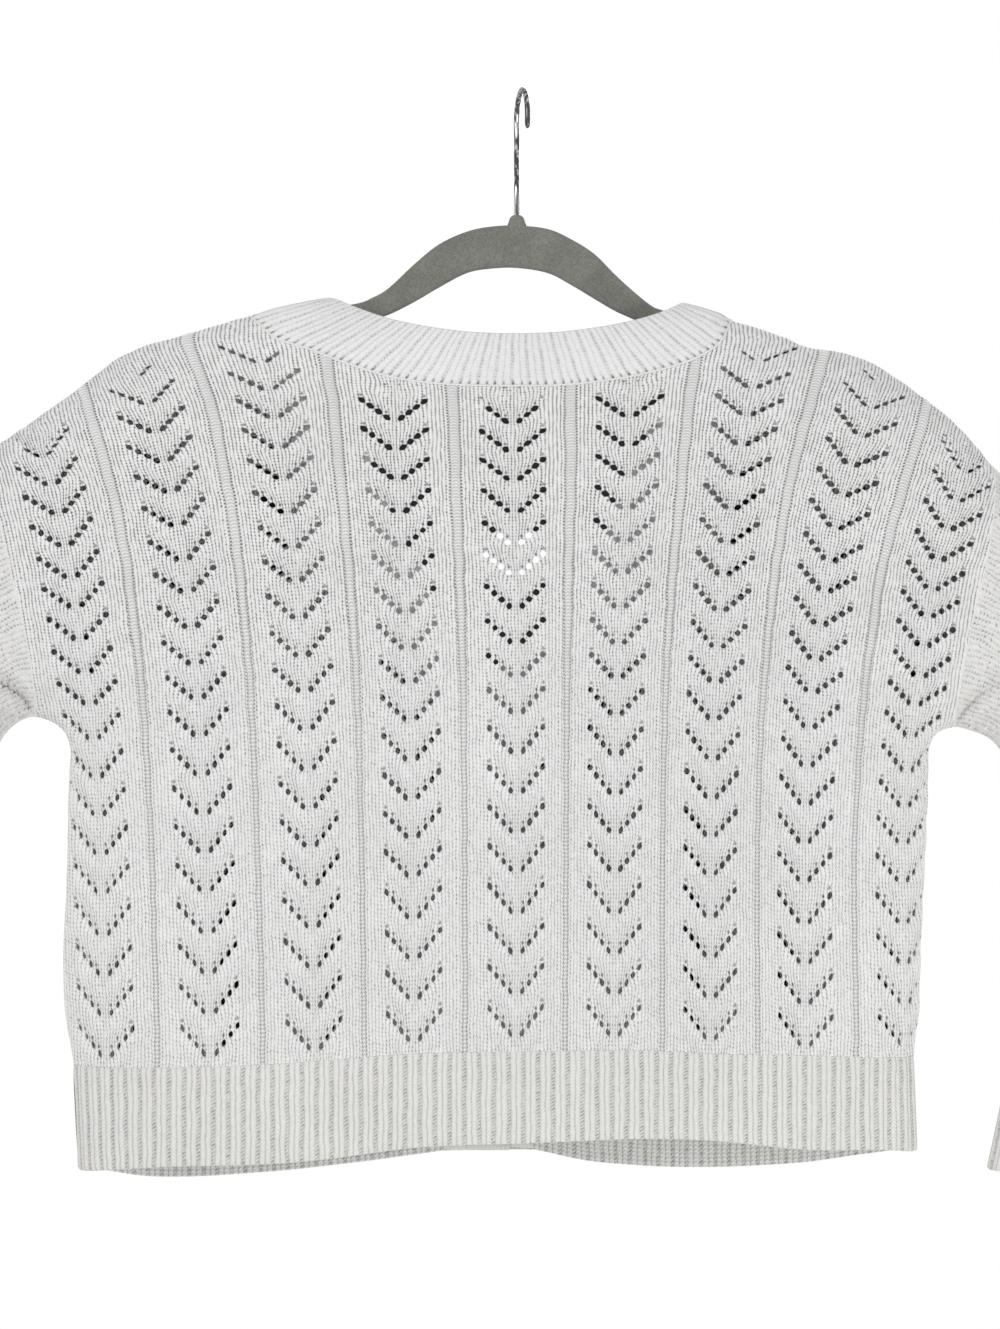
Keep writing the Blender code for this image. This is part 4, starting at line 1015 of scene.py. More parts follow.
def sleeve_knit(hand, material):
    """A sleeve in plain knit, its wales running down from the armhole."""
    share, _ = superellipse(AROUND_HALF)
    seam = 0.5 * SEAM_GAP / 60.0
    steps = np.concatenate([np.linspace(seam, 1.0, 12)[:-1], np.linspace(1.0, CUFF_SEAM_RING, 70)])
    outer = []
    inner = []
    knit = []
    length = 0.0
    last = None
    for ring in steps:
        points, normals = tube_ring(hand, ring)
        middle = points[AROUND_HALF // 2]
        length += 0.0 if last is None else np.linalg.norm(middle - last)
        last = middle
        flat = sleeve_section(hand, ring)
        wales = share * SLEEVE_WALES
        round_wales = np.concatenate([wales, wales[::-1][1:-1]])
        outer.append(points)
        inner.append(points - KNIT_WALL * normals)
        knit.append(np.stack([round_wales, np.full(len(round_wales), length / SLEEVE_COURSE)], 1))
    item = shell(f"knit_sleeve_{hand}", np.array(outer), np.array(inner), True, material, np.array(knit))
    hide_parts(f"sleeve_{hand}")
    return item


# Points across one rib, a ridge of two wales and a valley, columns place, height
OPEN_RIB = np.array([(0.0, 0.0), (0.05, 0.35), (0.13, 0.62), (0.24, 0.7), (0.36, 0.6), (0.48, 0.7),
                     (0.59, 0.62), (0.68, 0.35), (0.73, 0.0), (0.86, -0.1)])
CLOSED_RIB = np.array([(0.0, 0.0), (0.05, 0.3), (0.14, 0.42), (0.30, 0.45), (0.45, 0.45), (0.62, 0.45),
                       (0.76, 0.42), (0.87, 0.3), (0.91, 0.0), (0.955, -0.1)])
STRIP_ROWS = np.concatenate([[0.0, 0.03], np.linspace(0.07, 0.96, 15), [0.988, 1.0]])
STRIP_EDGE = np.concatenate([[0.0, 0.4], np.ones(15), [0.1, -0.7]])


def ribbed_shell(name, surface, knots, pitch, profile, closed, material):
    """A ribbed wall over a surface that is read at knot numbers along it and shares across it."""
    fine = np.linspace(0.0, knots, 60 * knots + 1)
    middle, _ = surface(fine, 0.5)
    length = run_length(middle)
    ribs = int(round(length[-1] / pitch))
    count = (np.arange(ribs)[:, None] + profile[:, 0]).ravel()
    heights = np.tile(profile[:, 1], ribs)
    if not closed:
        count = np.append(count, ribs)
        heights = np.append(heights, 0.0)
    along = np.interp(count / ribs * length[-1], length, fine)
    outer = []
    inner = []
    knit = []
    for down, full in zip(STRIP_ROWS, STRIP_EDGE):
        place, normal = surface(along, down)
        width = np.linalg.norm(surface(along[:2], 1.0)[0][0] - surface(along[:2], 0.0)[0][0])
        rise = RIB_RISE * heights * max(full, 0.0) + min(full, 0.0)
        wall = RIB_WALL + 0.5 * min(full, 0.0)
        outer.append(place + rise[:, None] * normal)
        inner.append(place - wall * normal)
        knit.append(np.stack([count, np.full(len(count), down * width / RIB_COURSE)], 1))
    item = shell(name, np.array(outer), np.array(inner), closed, material, np.array(knit),
                 ribs if closed else None)
    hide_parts(name.replace("ribbed_", ""))
    return item


def strip_surface(guides):
    """A surface between pairs of flat guide lines, each with its side, its lap and its folded ends."""
    starts = np.cumsum([0] + [len(guide[0]) - 1 for guide in guides])

    def surface(at, down):
        at = np.asarray(at, float)
        place = np.zeros((len(at), 3))
        normal = np.zeros((len(at), 3))
        number = np.clip(np.searchsorted(starts, at, side="right") - 1, 0, len(guides) - 1)
        for i, (first, second, side, lifted, folded) in enumerate(guides):
            here = np.flatnonzero(number == i)
            if len(here) == 0:
                continue
            local = at[here] - starts[i]
            one = smooth_along(first, local)
            two = smooth_along(second, local)
            one = one + 0.5 * SEAM_GAP * unit(two - one)
            flat = one + down * (two - one)
            points, normals = cloth_surface(flat, side, lifted)
            at_start = folded[0] & (local < 0.001)
            at_end = folded[1] & (local > len(first) - 1.001)
            flatten_folds(flat, points, normals, at_start | at_end)
            place[here] = points
            normal[here] = normals
        return place, normal

    return surface, int(starts[-1])


def hem_rib(piece, material):
    seam, edge = hem_lines(piece)
    side = -1 if piece == "back" else 1
    folded = (piece != "right", piece != "left")
    surface, knots = strip_surface([(seam, edge, side, piece == "right", folded)])
    name = "ribbed_hem_back" if piece == "back" else f"ribbed_hem_front_{piece}"
    return ribbed_shell(name, surface, knots, HEM_RIB, OPEN_RIB, False, material)


def band_guides():
    """The neck and front band: up the left front, round the back neck, down the right front."""
    left = np.array(FRONT_NECK["left"][::-1], float)
    back = np.array(BACK_NECK, float)
    right = np.array(FRONT_NECK["right"], float)
    return [(left[:, :2], left[:, 2:], 1, False, (False, True)),
            (back[:, :2], back[:, 2:], -1, False, (True, True)),
            (right[:, :2], right[:, 2:], 1, True, (True, False))]


def neck_and_front_band(material):
    surface, knots = strip_surface(band_guides())
    return ribbed_shell("ribbed_neck_and_front_band", surface, knots, BAND_RIB, CLOSED_RIB, False, material)


def cuff_rib(hand, material):
    """A ribbed cuff round the end of a sleeve."""
    around = 2 * AROUND_HALF
    seam = CUFF_SEAM_RING + 0.5 * SEAM_GAP / 55.0

    def surface(at, down):
        ring = tube_ring(hand, seam + down * (CUFF_END_RING - seam))
        return [read_along(at, np.arange(around + 1), come_round(part)) for part in ring]

    return ribbed_shell(f"ribbed_cuff_{hand}", surface, around, CUFF_RIB, OPEN_RIB, True, material)


def chain_seam(name, points, normals, width, rise, material):
    """A row of linked chain stitches laid along a seam."""
    length = run_length(points)
    steps = int(length[-1] / CHAIN_STEP)
    at = np.linspace(0.0, length[-1], steps)
    place = read_along(at, length, points)
    normal = unit(read_along(at, length, normals))
    tangent = unit(np.gradient(place, axis=0))
    across = np.cross(tangent, normal)
    beat = np.abs(np.sin(math.pi * at / CHAIN_PITCH))
    reach = 0.5 * width * (0.72 + 0.28 * beat)
    height = 0.5 * width * (0.6 + 0.25 * beat)
    rings = []
    knit = []
    for i in range(CHAIN_SIDES):
        angle = 2.0 * math.pi * i / CHAIN_SIDES
        rings.append(place + (rise + height * math.sin(angle))[:, None] * normal
                     + (reach * math.cos(angle))[:, None] * across)
        knit.append(np.stack([np.full(steps, i / CHAIN_SIDES), at / CHAIN_PITCH], 1))
    points = np.array(rings).transpose(1, 0, 2).reshape(-1, 3)
    knit = np.array(knit).transpose(1, 0, 2).reshape(-1, 2)
    faces = tube_faces(steps, CHAIN_SIDES) + end_faces(steps, CHAIN_SIDES)
    item = set_mesh(name, points, faces, material, knit, 180.0)


def seams(material):
    """The linking round the neck and the seams round both armholes."""
    surface, knots = strip_surface(band_guides())
    place, normal = surface(np.linspace(0.0, knots, 1200), 0.0)
    chain_seam("neck_linking", place, normal, 1.3, 0.25, material)
    for hand in ("left", "right"):
        points, normals = (come_round(part) for part in tube_ring(hand, 0.0))
        chain_seam(f"armhole_seam_{hand}", points, normals, 1.2, -0.25, material)


def button_place(number):
    """The middle of a button's back, just over the band."""
    z = BUTTON_TOP_Z - number * BUTTON_STEP
    surface, _ = cloth_surface(np.array([[BUTTON_X, z]]), 1, True)
    return BUTTON_X, surface[0, 1] + 0.5 * SEAM_GAP + BUTTON_LIFT, z


def button(number, material):
    """A round sewn button: a raised rim, a dished face and four holes."""
    circle = circle_of(BUTTON_SIDES)
    holes = [(x, y) + HOLE_RADIUS * circle_of(HOLE_SIDES)
             for x in (-HOLE_OFFSET, HOLE_OFFSET) for y in (-HOLE_OFFSET, HOLE_OFFSET)]
    flat = np.vstack([DISH_RADIUS * BUTTON_RADIUS * circle] + holes)
    loops = loops_of([BUTTON_SIDES] + [HOLE_SIDES] * len(holes))
    ring_of = np.repeat(np.arange(len(loops)) - 1, [len(loop) for loop in loops])
    faces = triangulate(flat, edges_round(loops), flat[:BUTTON_SIDES], ring_of)
    count = len(flat)
    points = [(x, DISH_HEIGHT * BUTTON_THICK, y) for x, y in flat] + [(x, 0.0, y) for x, y in flat]
    for radius, height in BUTTON_RIM:
        points += [(BUTTON_RADIUS * radius * x, BUTTON_THICK * height, BUTTON_RADIUS * radius * y)
                   for x, y in circle]
    polygons = faces.tolist() + (faces + count).tolist()
    for loop in loops[1:]:
        polygons += wall_between(loop, [count + point for point in loop])
    rims = [loops[0]]
    rims += [[2 * count + BUTTON_SIDES * r + point for point in loops[0]] for r in range(len(BUTTON_RIM))]
    rims.append([count + point for point in loops[0]])
    for one, two in zip(rims, rims[1:]):
        polygons += wall_between(one, two)
    points = np.array(points) + button_place(number)
    item = set_mesh(f"sewn_button_{number + 1}", points, polygons, material, None, 50.0)
    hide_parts(f"button_{number + 1}")


def tube(path, radii, sides, flatten=1.0):
    """Points and faces of a round tube along a path in space, closed by a fan at each end."""
    path = np.asarray(path, float)
    tangent = unit(np.gradient(path, axis=0))
    points = []
    upright = np.array([0.0, 1.0, 0.0]) if abs(tangent[0][1]) < 0.8 else np.array([0.0, 0.0, 1.0])
    for place, along, radius in zip(path, tangent, radii):
        upright = upright - along * (upright @ along)
        upright = upright / np.linalg.norm(upright)
        across = np.cross(along, upright)
        for i in range(sides):
            angle = 2.0 * math.pi * i / sides
            points.append(place + radius * (math.cos(angle) * across + flatten * math.sin(angle) * upright))
    faces = tube_faces(len(path), sides)
    for ring, place in ((0, path[0]), (len(path) - 1, path[-1])):
        points.append(place)
        for i in range(sides):
            faces.append((len(points) - 1, ring * sides + i, ring * sides + (i + 1) % sides))
    return points, faces


def button_threads(material):
    """Crossed sewing thread in the holes of every button."""
    points = []
    faces = []
    for number in range(BUTTON_COUNT):
        x, back, z = button_place(number)
        top = back + DISH_HEIGHT * BUTTON_THICK
        for hand in (-1, 1):
            for shift in (-THREAD_SHIFT, THREAD_SHIFT):
                path = []
                for t in np.linspace(-1.0, 1.0, 9):
                    lift = THREAD_RISE * (1.0 - t ** 4) - 1.1 * max(0.0, abs(t) - 0.8) * 5.0
                    path.append((x + HOLE_OFFSET * t + shift, top + 0.15 + lift + 0.2 * (hand > 0),
                                 z + hand * HOLE_OFFSET * t - hand * shift))
                more, more_faces = tube(path, [THREAD_RADIUS] * len(path), 8)
                faces += [tuple(len(points) + v for v in face) for face in more_faces]
                points += more
    item = set_mesh("button_threads", points, faces, material, None, 180.0)


def hanger_sections():
    """Sections of the hanger from left tip to right tip, columns x, top z, depth."""
    rows = []
    for hand, table in (("left", HANGER_LEFT), ("right", HANGER_RIGHT)):
        arm = [tuple(row) for row in table]
        start = arm[-1][0]
        shoulder = np.array(SHOULDER[hand], float)
        order = np.argsort(shoulder[:, 0])
        for share in (0.2, 0.4, 0.6, 0.78, 0.93, 1.0):
            x = start + (HANGER_TIP[hand] - start) * share
            seat = HANGER_SEAT_NECK + (HANGER_SEAT_TIP - HANGER_SEAT_NECK) * share
            top = np.interp(x, shoulder[order, 0], shoulder[order, 1]) - seat
            depth = ARM_DEPTH_ROOT + (ARM_DEPTH_TIP - ARM_DEPTH_ROOT) * share
            if share == 1.0:
                top -= 0.25 * depth
                depth *= 0.5
            arm.append((x, top, depth))
        rows.append(arm)
    return rows[0][::-1] + rows[1]


def hanger(material):
    """The flat flocked hanger, its edges softly rounded, with a flared boss under the hook."""
    knots = np.array(hanger_sections(), float)
    sections = smooth_along(knots, np.linspace(0.0, len(knots) - 1.0, 6 * (len(knots) - 1) + 1))
    half = 0.5 * HANGER_THICK
    round_up, round_across = circle_of(HANGER_SIDES).T
    across = rounded(round_across, 0.55)
    up = rounded(round_up, 0.3)
    points = []
    rings = len(sections)
    for number, (x, top, depth) in enumerate(sections):
        tip = min(number, rings - 1 - number)
        thin = half * min(1.0, 0.45 + 0.14 * tip)
        for a, u in zip(across, up):
            points.append((x, thin * a, top - 0.5 * depth + 0.5 * depth * u))
    faces = tube_faces(rings, HANGER_SIDES) + end_faces(rings, HANGER_SIDES)
    heights = np.linspace(BOSS_FOOT, BOSS_TOP, BOSS_RINGS)
    share = (heights - BOSS_FOOT) / (BOSS_TOP - BOSS_FOOT)
    radii = BOSS_RADIUS + BOSS_FLARE * (1.0 - share) ** 1.5
    radii[-3:] -= (0.1, 0.55, 1.7)
    path = [(HOOK_X, 0.0, height) for height in heights]
    boss, boss_faces = tube(path, radii, 32, BOSS_FLATNESS)
    boss = np.array(boss)
    boss[:, 1] = np.clip(boss[:, 1], -half * 1.02, half * 1.02)
    faces += [tuple(len(points) + v for v in face) for face in boss_faces]
    points += boss.tolist()
    item = set_mesh("velvet_hanger", points, faces, material, None, 50.0)
    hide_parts("hanger")


def hook(material):
    """The round wire hook: up from the boss, out to one side and over the top, its end rounded."""
    stem = [(0.0, BOSS_TOP - 3.0), (0.0, -60.0), (-2.5, -50.0), (-8.0, -41.0), (-14.0, -31.0)]
    crown = WIRE_RADIUS - HOOK_RADIUS
    arc = [(-HOOK_RADIUS * math.cos(a), crown + HOOK_RADIUS * math.sin(a))
           for a in np.radians(np.arange(0, 181, 15))]
    line = smooth_along(stem + arc + [(HOOK_RADIUS - 0.5, crown - 7.0)], np.linspace(0.0, 18.0, 150))
    path = []
    for along, z in line:
        lean = HOOK_X * ramp(z, -20.0, -60.0)
        path.append((along * math.cos(HOOK_TURN) + lean, -along * math.sin(HOOK_TURN), z))
    radii = np.full(len(path), WIRE_RADIUS)
    radii[-4:] = WIRE_RADIUS * np.array([0.97, 0.88, 0.68, 0.35])
    points, faces = tube(path, radii, 24)
    item = set_mesh("wire_hook", points, faces, material, None, 180.0)
    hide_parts("hook")


class Field:
    """A value that changes over a surface, from a shader node, so that sums read as sums."""

    def __init__(self, tree, socket):
        self.tree = tree
        self.socket = socket

    def then(self, operation, *values):
        """The outcome of a math node that takes this value first."""
        return calculate(self.tree, operation, self, *values)

    def __add__(self, other):
        return self.then("ADD", other)

    def __sub__(self, other):
        return self.then("SUBTRACT", other)

    def __rsub__(self, other):
        return calculate(self.tree, "SUBTRACT", other, self)

    def __mul__(self, other):
        return self.then("MULTIPLY", other)

    def __truediv__(self, other):
        return self.then("DIVIDE", other)

    def __pow__(self, power):
        return self.then("POWER", power)

    def __abs__(self):
        return self.then("ABSOLUTE")


def join(tree, value, socket):
    """Sets a socket to a number, or links a field to it."""
    if isinstance(value, Field):
        tree.links.new(value.socket, socket)
    else:
        socket.default_value = value


def calculate(tree, operation, *values):
    """A math node with numbers or fields wired in."""
    node = tree.nodes.new("ShaderNodeMath")
    node.operation = operation
    for socket, value in zip(node.inputs, values):
        join(tree, value, socket)
    return Field(tree, node.outputs[0])


def remap(field, start, end, low, high, steps="LINEAR"):
    """low where a field is start, high where it is end, and in between."""
    node = field.tree.nodes.new("ShaderNodeMapRange")
    node.interpolation_type = steps
    for label, value in (("Value", field), ("From Min", start), ("From Max", end),
                         ("To Min", low), ("To Max", high)):
        join(field.tree, value, node.inputs[label])
    return Field(field.tree, node.outputs["Result"])


def window(field, low, high):
    """1 where a field is under low, falling smoothly to 0 at high."""
    return remap(field, low, high, 1.0, 0.0, "SMOOTHSTEP")


def wave(field, beats=1.0):
    """A wave between 0 and 1, beats times for each whole of a field."""
    return (field * (2.0 * math.pi * beats)).then("COSINE") * 0.5 + 0.5


def mix(share, one, two):
    """one where share is 0, two where it is 1."""
    node = share.tree.nodes.new("ShaderNodeMix")
    for number, value in ((0, share), (2, one), (3, two)):
        join(share.tree, value, node.inputs[number])
    return Field(share.tree, node.outputs[0])


def place_of(tree, x, y):
    """A place made of two values, as a socket."""
    node = tree.nodes.new("ShaderNodeCombineXYZ")
    join(tree, x, node.inputs[0])
    join(tree, y, node.inputs[1])
    return node.outputs[0]


def chance_of(tree, x, y):
    """A chance value from -1 to 1 for each pair of whole numbers."""
    chance = tree.nodes.new("ShaderNodeTexWhiteNoise")
    chance.noise_dimensions = "2D"
    tree.links.new(place_of(tree, x, y), chance.inputs["Vector"])
    return Field(tree, chance.outputs["Value"]) * 2.0 - 1.0


def noise(tree, place, scale, detail, distortion=0.0):
    """Soft cloudy noise at the place that a socket gives."""
    node = tree.nodes.new("ShaderNodeTexNoise")
    node.inputs["Scale"].default_value = scale
    node.inputs["Detail"].default_value = detail
    node.inputs["Distortion"].default_value = distortion
    tree.links.new(place, node.inputs["Vector"])
    return Field(tree, node.outputs["Fac"])


def new_group(name, inputs):
    """A shader group with a place in the knit and named numbers going in.

    Returns the group, its numbers as fields, and the place's wale and course.
    """
    group = bpy.data.node_groups.new(name, "ShaderNodeTree")
    group.interface.new_socket("Place", in_out="INPUT", socket_type="NodeSocketVector")
    for label, value in inputs.items():
        socket = group.interface.new_socket(label, in_out="INPUT", socket_type="NodeSocketFloat")
        socket.default_value = value
    enter = group.nodes.new("NodeGroupInput")
    split = group.nodes.new("ShaderNodeSeparateXYZ")
    group.links.new(enter.outputs["Place"], split.inputs[0])
    given = {label: Field(group, enter.outputs[label]) for label in inputs}
    return group, given, Field(group, split.outputs["X"]), Field(group, split.outputs["Y"])


def give_out(group, **fields):
    """Gives a group an output for each named field."""
    for label in fields:
        group.interface.new_socket(label, in_out="OUTPUT", socket_type="NodeSocketFloat")
    leave = group.nodes.new("NodeGroupOutput")
    for label, field in fields.items():
        join(group, field, leave.inputs[label])


def plain_stitches():
    """Plain knit: wales of V stitches with dotted furrows of painted shade between them and painted shade
    where each strand dips, no two stitches quite alike.
    """
    group, given, wale, course = new_group("plain stitches", {"Painted furrow shade": 0.5, "Unevenness": 0.3})
    own = group.nodes.new("ShaderNodeTexWhiteNoise")
    own.noise_dimensions = "1D"
    join(group, wale.then("ROUND"), own.inputs["W"])
    course = course + Field(group, own.outputs["Value"])
    off_middle = wale.then("PINGPONG", 0.5)
    strand = wave(off_middle * -1.4 + course)
    edge = off_middle * 2.0
    height = (1.0 - edge ** 2.6) * (strand * 0.5 + 0.5)
    uneven = chance_of(group, wale.then("FLOOR"), course.then("ROUND")) * given["Unevenness"] + 1.0
    # Painted shade: dark dotted furrows between the wales and a softer darkening where each strand dips
    dots = wave(course) ** 1.4 * 0.98 + 0.08
    dark = edge ** 3.5 * dots * given["Painted furrow shade"]
    soft = (1.0 - strand) * 0.09
    shade = 1.0 - (dark + soft) * uneven
    give_out(group, Height=height, Shade=shade.then("MAXIMUM", 0.1))
    return group


def pointelle_stitches(plain):
    """Plain knit drawn together at the chevrons, with zigzag ropes, wide and open in the yoke, and painted
    shade in dark dashes on the ropes and dotted ladders beside them.

    A small dot of painted shadow lies over each eyelet.
    """
    group, given, wale, course = new_group("pointelle stitches", {"Painted furrow shade": 0.5, "Unevenness": 0.3})
    in_yoke = 1.0 - window(course, 55.0, 165.0)
    # depth here is how dark the painted furrow shade is, darker in the yoke
    depth = (in_yoke * 1.25 + 0.75) * given["Painted furrow shade"]
    across = wale.then("PINGPONG", 15.0)

    phase = (across * -0.8 + course).then("WRAP", 5.0, -5.0)
    near_row = window(abs(phase), 0.0, 4.8)
    near_tip = window(across, 2.0, 9.5)
    drawn = near_row * near_tip * 0.24 * window(course, 178.0, 190.0)
    side = (wale * (math.pi / 15.0)).then("SINE").then("SIGN") * 60.0
    body = group.nodes.new("ShaderNodeGroup")
    body.node_tree = plain
    group.links.new(place_of(group, across * (drawn + 1.0) + side, course), body.inputs["Place"])
    join(group, depth, body.inputs["Painted furrow shade"])
    join(group, given["Unevenness"], body.inputs["Unevenness"])

    off_rope = abs((wale - 15.0).then("WRAP", 15.0, -15.0))
    reach = in_yoke * 0.85 + 0.65
    to_edge = off_rope / reach
    roped = abs(wale - MIDDLE_WALE).then("LESS_THAN", ROPED_WALES)
    on_rope = window(to_edge, 1.15, 1.3) * roped
    # Painted shade: dark dashes between the slanted strands of the ropes, and dotted ladders along their
    # edges
    dash = wave(to_edge * to_edge * 0.8 + course)
    rope_dark = dash ** 3.0 * depth.then("MINIMUM", 0.34)
    height = mix(on_rope, Field(group, body.outputs["Height"]), 1.0 - dash)
    shade = mix(on_rope, Field(group, body.outputs["Shade"]), 1.0 - rope_dark)
    on_edge = window(abs(off_rope - reach), 0.1, 0.42)
    shade = shade - on_edge * (wave(course) ** 2.0 * depth * roped * 0.75)

    # Painted shadow: a small dark dot over each eyelet
    arm = across - EYELET_FIRST_WALE
    step = (arm / EYELET_STEP_WALES).then("ROUND").then("MAXIMUM", 0.0)
    step = step.then("MINIMUM", EYELETS_PER_ARM - 1.0)
    beside = arm - step * EYELET_STEP_WALES
    above = (course - step * EYELET_STEP_COURSES - 1.9).then("WRAP", 5.0, -5.0)
    far = (beside * beside + above * above * 0.5).then("SQRT")
    in_rows = course.then("GREATER_THAN", 0.0) * course.then("LESS_THAN", 182.0)
    shade = shade - window(far, 0.1, 0.6) * 0.6 * in_rows
    give_out(group, Height=height, Shade=shade.then("MAXIMUM", 0.1))
    return group


def rib_stitches():
    """Rib knit: ridges of two wales, and a valley with a ladder of small slanted marks, with painted shade
    in the valley, between each ridge's wales and in ticks along a linked edge.
    """
    group, given, rib, course = new_group(
        "rib stitches", {"Painted furrow shade": 0.5, "Unevenness": 0.3, "Ridge width": 0.72, "Linked edge": 0.0})
    place = rib.then("FRACT")
    over = place / given["Ridge width"]
    on_ridge = window(over, 0.98, 1.06)
    off_middle = abs((over * 2.0).then("FRACT") - 0.5)
    strand = wave(off_middle * -1.0 + course)
    ridge = (1.0 - (off_middle * 2.0) ** 3.0) * (strand * 0.4 + 0.6)
    uneven = chance_of(group, (rib * 4.0).then("ROUND"), course.then("ROUND")) * given["Unevenness"] + 1.0
    # Painted shade: a thin dark line between the wales of each ridge, the valley dark between its lighter
    # rungs, and short dark ticks along a linked edge
    middle = (off_middle * 2.0) ** 6.0 * (given["Painted furrow shade"] * 0.3)
    ridge_dark = middle + (strand * -0.08 + 0.08)
    rung = wave(place * 3.0 + course)
    valley_dark = (rung * -0.8 + 1.0) * given["Painted furrow shade"]
    dark = mix(on_ridge, valley_dark, ridge_dark) * uneven
    at_edge = window(course, 0.8, 1.9) * given["Linked edge"]
    dark = dark + at_edge * wave(rib, 2.0) ** 5.0
    give_out(group, Height=mix(on_ridge, rung * 0.35, ridge), Shade=1.0 - dark)
    return group


def spun_yarn():
    """Spun cotton: fine fuzz, soft uneven tone, the wandering of its wales and how open they lie."""
    group = bpy.data.node_groups.new("spun yarn", "ShaderNodeTree")
    group.interface.new_socket("Place", in_out="INPUT", socket_type="NodeSocketVector")
    place = group.nodes.new("NodeGroupInput").outputs["Place"]
    fields = {}
    for label, scale, detail, low, high in YARN:
        fields[label] = remap(noise(group, place, scale, detail), 0.25, 0.75, low, high)
    give_out(group, **fields)
    return group


def new_material(name, colour, roughness, metallic=0.0):
    material = bpy.data.materials.new(name)
    material.use_nodes = True
    shader = material.node_tree.nodes["Principled BSDF"]
    shader.inputs["Base Color"].default_value = (*colour, 1.0)
    shader.inputs["Roughness"].default_value = roughness
    shader.inputs["Metallic"].default_value = metallic
    return material, material.node_tree, shader


def dye(tree, shader, colour, shade):
    """Colours a shader evenly but for a shade that changes over the surface."""
    dyed = tree.nodes.new("ShaderNodeVectorMath")
    dyed.operation = "SCALE"
    dyed.inputs[0].default_value = colour
    join(tree, shade, dyed.inputs["Scale"])
    tree.links.new(dyed.outputs["Vector"], shader.inputs["Base Color"])


def emboss(tree, shader, height, rise):
    """Raises a surface by a height field times so many millimetres."""
    bump = tree.nodes.new("ShaderNodeBump")
    bump.inputs["Distance"].default_value = rise * MM
    join(tree, height, bump.inputs["Height"])
    tree.links.new(bump.outputs["Normal"], shader.inputs["Normal"])


def object_place(tree):
    """The place on the object itself, as a socket."""
    return tree.nodes.new("ShaderNodeTexCoord").outputs["Object"]


def knit_material(name, colour, stitches, yarn, furrow_shade, uneven, relief, sway=1.0, own=None):
    """Cotton yarn in one of the stitches, which paint shade into its colour and raise it.

    own has values for the inputs that only this stitch has.
    """
    material, tree, shader = new_material(name, colour, 0.92)
    shader.inputs["Sheen Weight"].default_value = 0.12
    shader.inputs["Sheen Roughness"].default_value = 0.6
    shader.inputs["Specular IOR Level"].default_value = 0.25
    spun = tree.nodes.new("ShaderNodeGroup")
    spun.node_tree = yarn
    tree.links.new(object_place(tree), spun.inputs["Place"])
    fuzz, tone, wander, openness = (Field(tree, spun.outputs[row[0]]) for row in YARN)
    place = tree.nodes.new("ShaderNodeUVMap")
    place.uv_map = "knit"
    swayed = tree.nodes.new("ShaderNodeVectorMath")
    swayed.operation = "ADD"
    tree.links.new(place.outputs["UV"], swayed.inputs[0])
    tree.links.new(place_of(tree, wander * sway, 0.0), swayed.inputs[1])
    knit = tree.nodes.new("ShaderNodeGroup")
    knit.node_tree = stitches
    tree.links.new(swayed.outputs["Vector"], knit.inputs["Place"])
    # How open the wales lie sets how dark the painted furrow shade is
    join(tree, openness * (furrow_shade * sway) + furrow_shade * (1.0 - sway), knit.inputs["Painted furrow shade"])
    knit.inputs["Unevenness"].default_value = uneven
    for label, value in (own or {}).items():
        knit.inputs[label].default_value = value
    # The stitches' Shade is painted shade; tone and fuzz are the yarn's own uneven colour
    dye(tree, shader, colour, Field(tree, knit.outputs["Shade"]) * tone * (fuzz * 0.10 + 0.95))
    emboss(tree, shader, fuzz * 0.12 + Field(tree, knit.outputs["Height"]), relief)
    return material


def velvet_material():
    """Grey flocking: short dense fibres with a fine grain and soft brushed patches."""
    colour = (0.19, 0.192, 0.172)
    material, tree, shader = new_material("grey flocking", colour, 1.0)
    shader.inputs["Sheen Weight"].default_value = 0.25
    shader.inputs["Sheen Roughness"].default_value = 0.45
    shader.inputs["Specular IOR Level"].default_value = 0.15
    place = object_place(tree)
    grain = noise(tree, place, 900.0, 3.0)
    brushed = noise(tree, place, 55.0, 3.0)
    dye(tree, shader, colour, (grain * 0.9 + 0.55) * (brushed * 0.5 + 0.75))
    emboss(tree, shader, grain, 0.35)
    return material


def chrome_material():
    """Bright wire with long drawing marks in its roughness, and long dark and bright streaks painted into
    its colour as reflections.
    """
    material, tree, shader = new_material("bright wire", (0.4, 0.4, 0.4), 0.16, 1.0)
    stretched = tree.nodes.new("ShaderNodeVectorMath")
    stretched.operation = "MULTIPLY"
    stretched.inputs[1].default_value = (1.0, 1.0, 0.035)
    tree.links.new(object_place(tree), stretched.inputs[0])
    marks = noise(tree, stretched.outputs["Vector"], 520.0, 1.0)
    join(tree, marks * 0.2 + 0.06, shader.inputs["Roughness"])
    # Painted reflection: the marks make long dark and bright streaks in the wire's colour
    dye(tree, shader, (0.96, 0.96, 0.95), window(marks, 0.46, 0.66) * -0.72 + 0.84)
    return material


def button_material():
    """Pale shell with faint cloudy layers."""
    colour = (0.78, 0.76, 0.71)
    material, tree, shader = new_material("pale shell", colour, 0.28)
    shader.inputs["Coat Weight"].default_value = 0.35
    shader.inputs["Coat Roughness"].default_value = 0.12
    layers = noise(tree, object_place(tree), 160.0, 4.0, 1.2)
    dye(tree, shader, colour, layers * 0.28 + 0.86)
    return material


def plain_surface(name, corners, colour):
    """A large flat sheet of the studio."""
    mesh = bpy.data.meshes.new(name)
    mesh.from_pydata(corners, [], [(0, 1, 2, 3)])
    material, _, _ = new_material(name, colour, 0.9)
    mesh.materials.append(material)
    item = bpy.data.objects.new(name, mesh)
    bpy.context.scene.collection.objects.link(item)


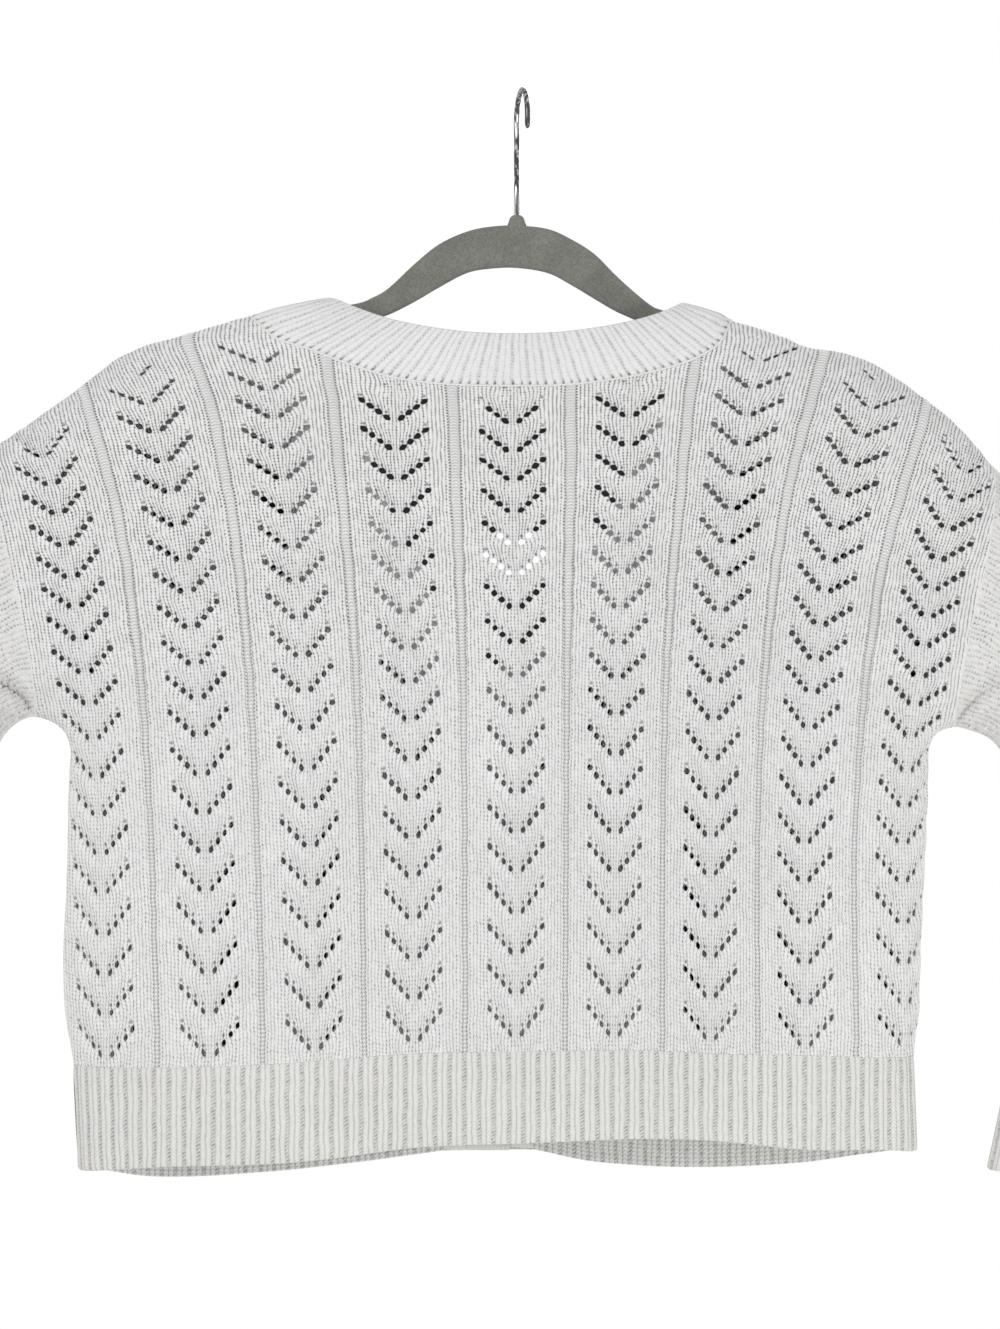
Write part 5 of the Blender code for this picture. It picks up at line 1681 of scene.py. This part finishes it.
def soft_light(name, place, aim, size, power):
    lamp = bpy.data.lights.new(name, "AREA")
    lamp.shape = "RECTANGLE"
    lamp.size, lamp.size_y = size
    lamp.energy = power
    item = bpy.data.objects.new(name, lamp)
    item.location = place
    item.rotation_mode = "QUATERNION"
    item.rotation_quaternion = (Vector(aim) - Vector(place)).to_track_quat("-Z", "Y")
    bpy.context.scene.collection.objects.link(item)


def studio():
    """A pale floor, a white surround that is dimmer as a light than it looks, and soft lamps."""
    plain_surface("floor", FLOOR, (0.86, 0.86, 0.85))
    world = bpy.data.worlds.new("studio")
    bpy.context.scene.world = world
    world.use_nodes = True
    tree = world.node_tree
    surround = tree.nodes["Background"]
    seen = Field(tree, tree.nodes.new("ShaderNodeLightPath").outputs["Is Camera Ray"])
    surround.inputs["Color"].default_value = (1.0, 1.0, 1.0, 1.0)
    join(tree, seen * (1.0 - SURROUND) + SURROUND, surround.inputs["Strength"])
    for lamp in LAMPS:
        soft_light(*lamp)
    view = bpy.context.scene.view_settings
    view.view_transform = "Standard"
    view.look = "None"


def camera():
    lens = bpy.data.cameras.new("camera")
    lens.sensor_fit = "AUTO"
    lens.sensor_width = 36.0
    lens.lens = LENS
    item = bpy.data.objects.new("camera", lens)
    item.location = CAMERA
    item.rotation_euler = (math.radians(90.0), 0.0, 0.0)
    bpy.context.scene.collection.objects.link(item)
    bpy.context.scene.camera = item


def main():
    clear_scene()
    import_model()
    plain = plain_stitches()
    yarn = spun_yarn()
    rib = rib_stitches()
    pointelle = knit_material("cotton pointelle", (0.96, 0.96, 0.955), pointelle_stitches(plain), yarn,
                              furrow_shade=0.66, uneven=0.6, relief=0.8, sway=0.6)
    # The sleeves' plain knit has a darker colour than the pointelle, partly as painted shade of the sleeves
    sleeve_cloth = knit_material("cotton plain knit", (0.82, 0.812, 0.795), plain, yarn,
                                 furrow_shade=0.36, uneven=0.9, relief=0.7)
    ribbing = knit_material("cotton rib", (0.822, 0.816, 0.796), rib, yarn,
                            furrow_shade=0.5, uneven=0.35, relief=0.8, sway=0.15, own={"Ridge width": 0.78})
    banding = knit_material("cotton band rib", (0.83, 0.83, 0.828), rib, yarn,
                            furrow_shade=0.38, uneven=0.5, relief=0.5, sway=0.15,
                            own={"Ridge width": 0.89, "Linked edge": 0.55})
    chain = knit_material("cotton linking", (0.86, 0.86, 0.855), plain, yarn,
                          furrow_shade=0.3, uneven=0.3, relief=0.4, sway=0.0)
    # Black of the discs inside the eyelets: painted shadow
    new_material("painted shadow in eyelets", (0.012, 0.012, 0.012), 1.0)
    shell_button = button_material()

    hands = ("left", "right")
    back = back_knit(pointelle)
    fronts = [front_knit(hand, pointelle) for hand in hands]
    sleeves = [sleeve_knit(hand, sleeve_cloth) for hand in hands]
    hem_back = hem_rib("back", ribbing)
    front_hems = [hem_rib(hand, ribbing) for hand in hands]
    cuffs = [cuff_rib(hand, ribbing) for hand in hands]
    band = neck_and_front_band(banding)
    seams(chain)
    for number in range(BUTTON_COUNT):
        button(number, shell_button)
    button_threads(chain)
    hanger(velvet_material())
    hook(chrome_material())

    studio()
    camera()


main()
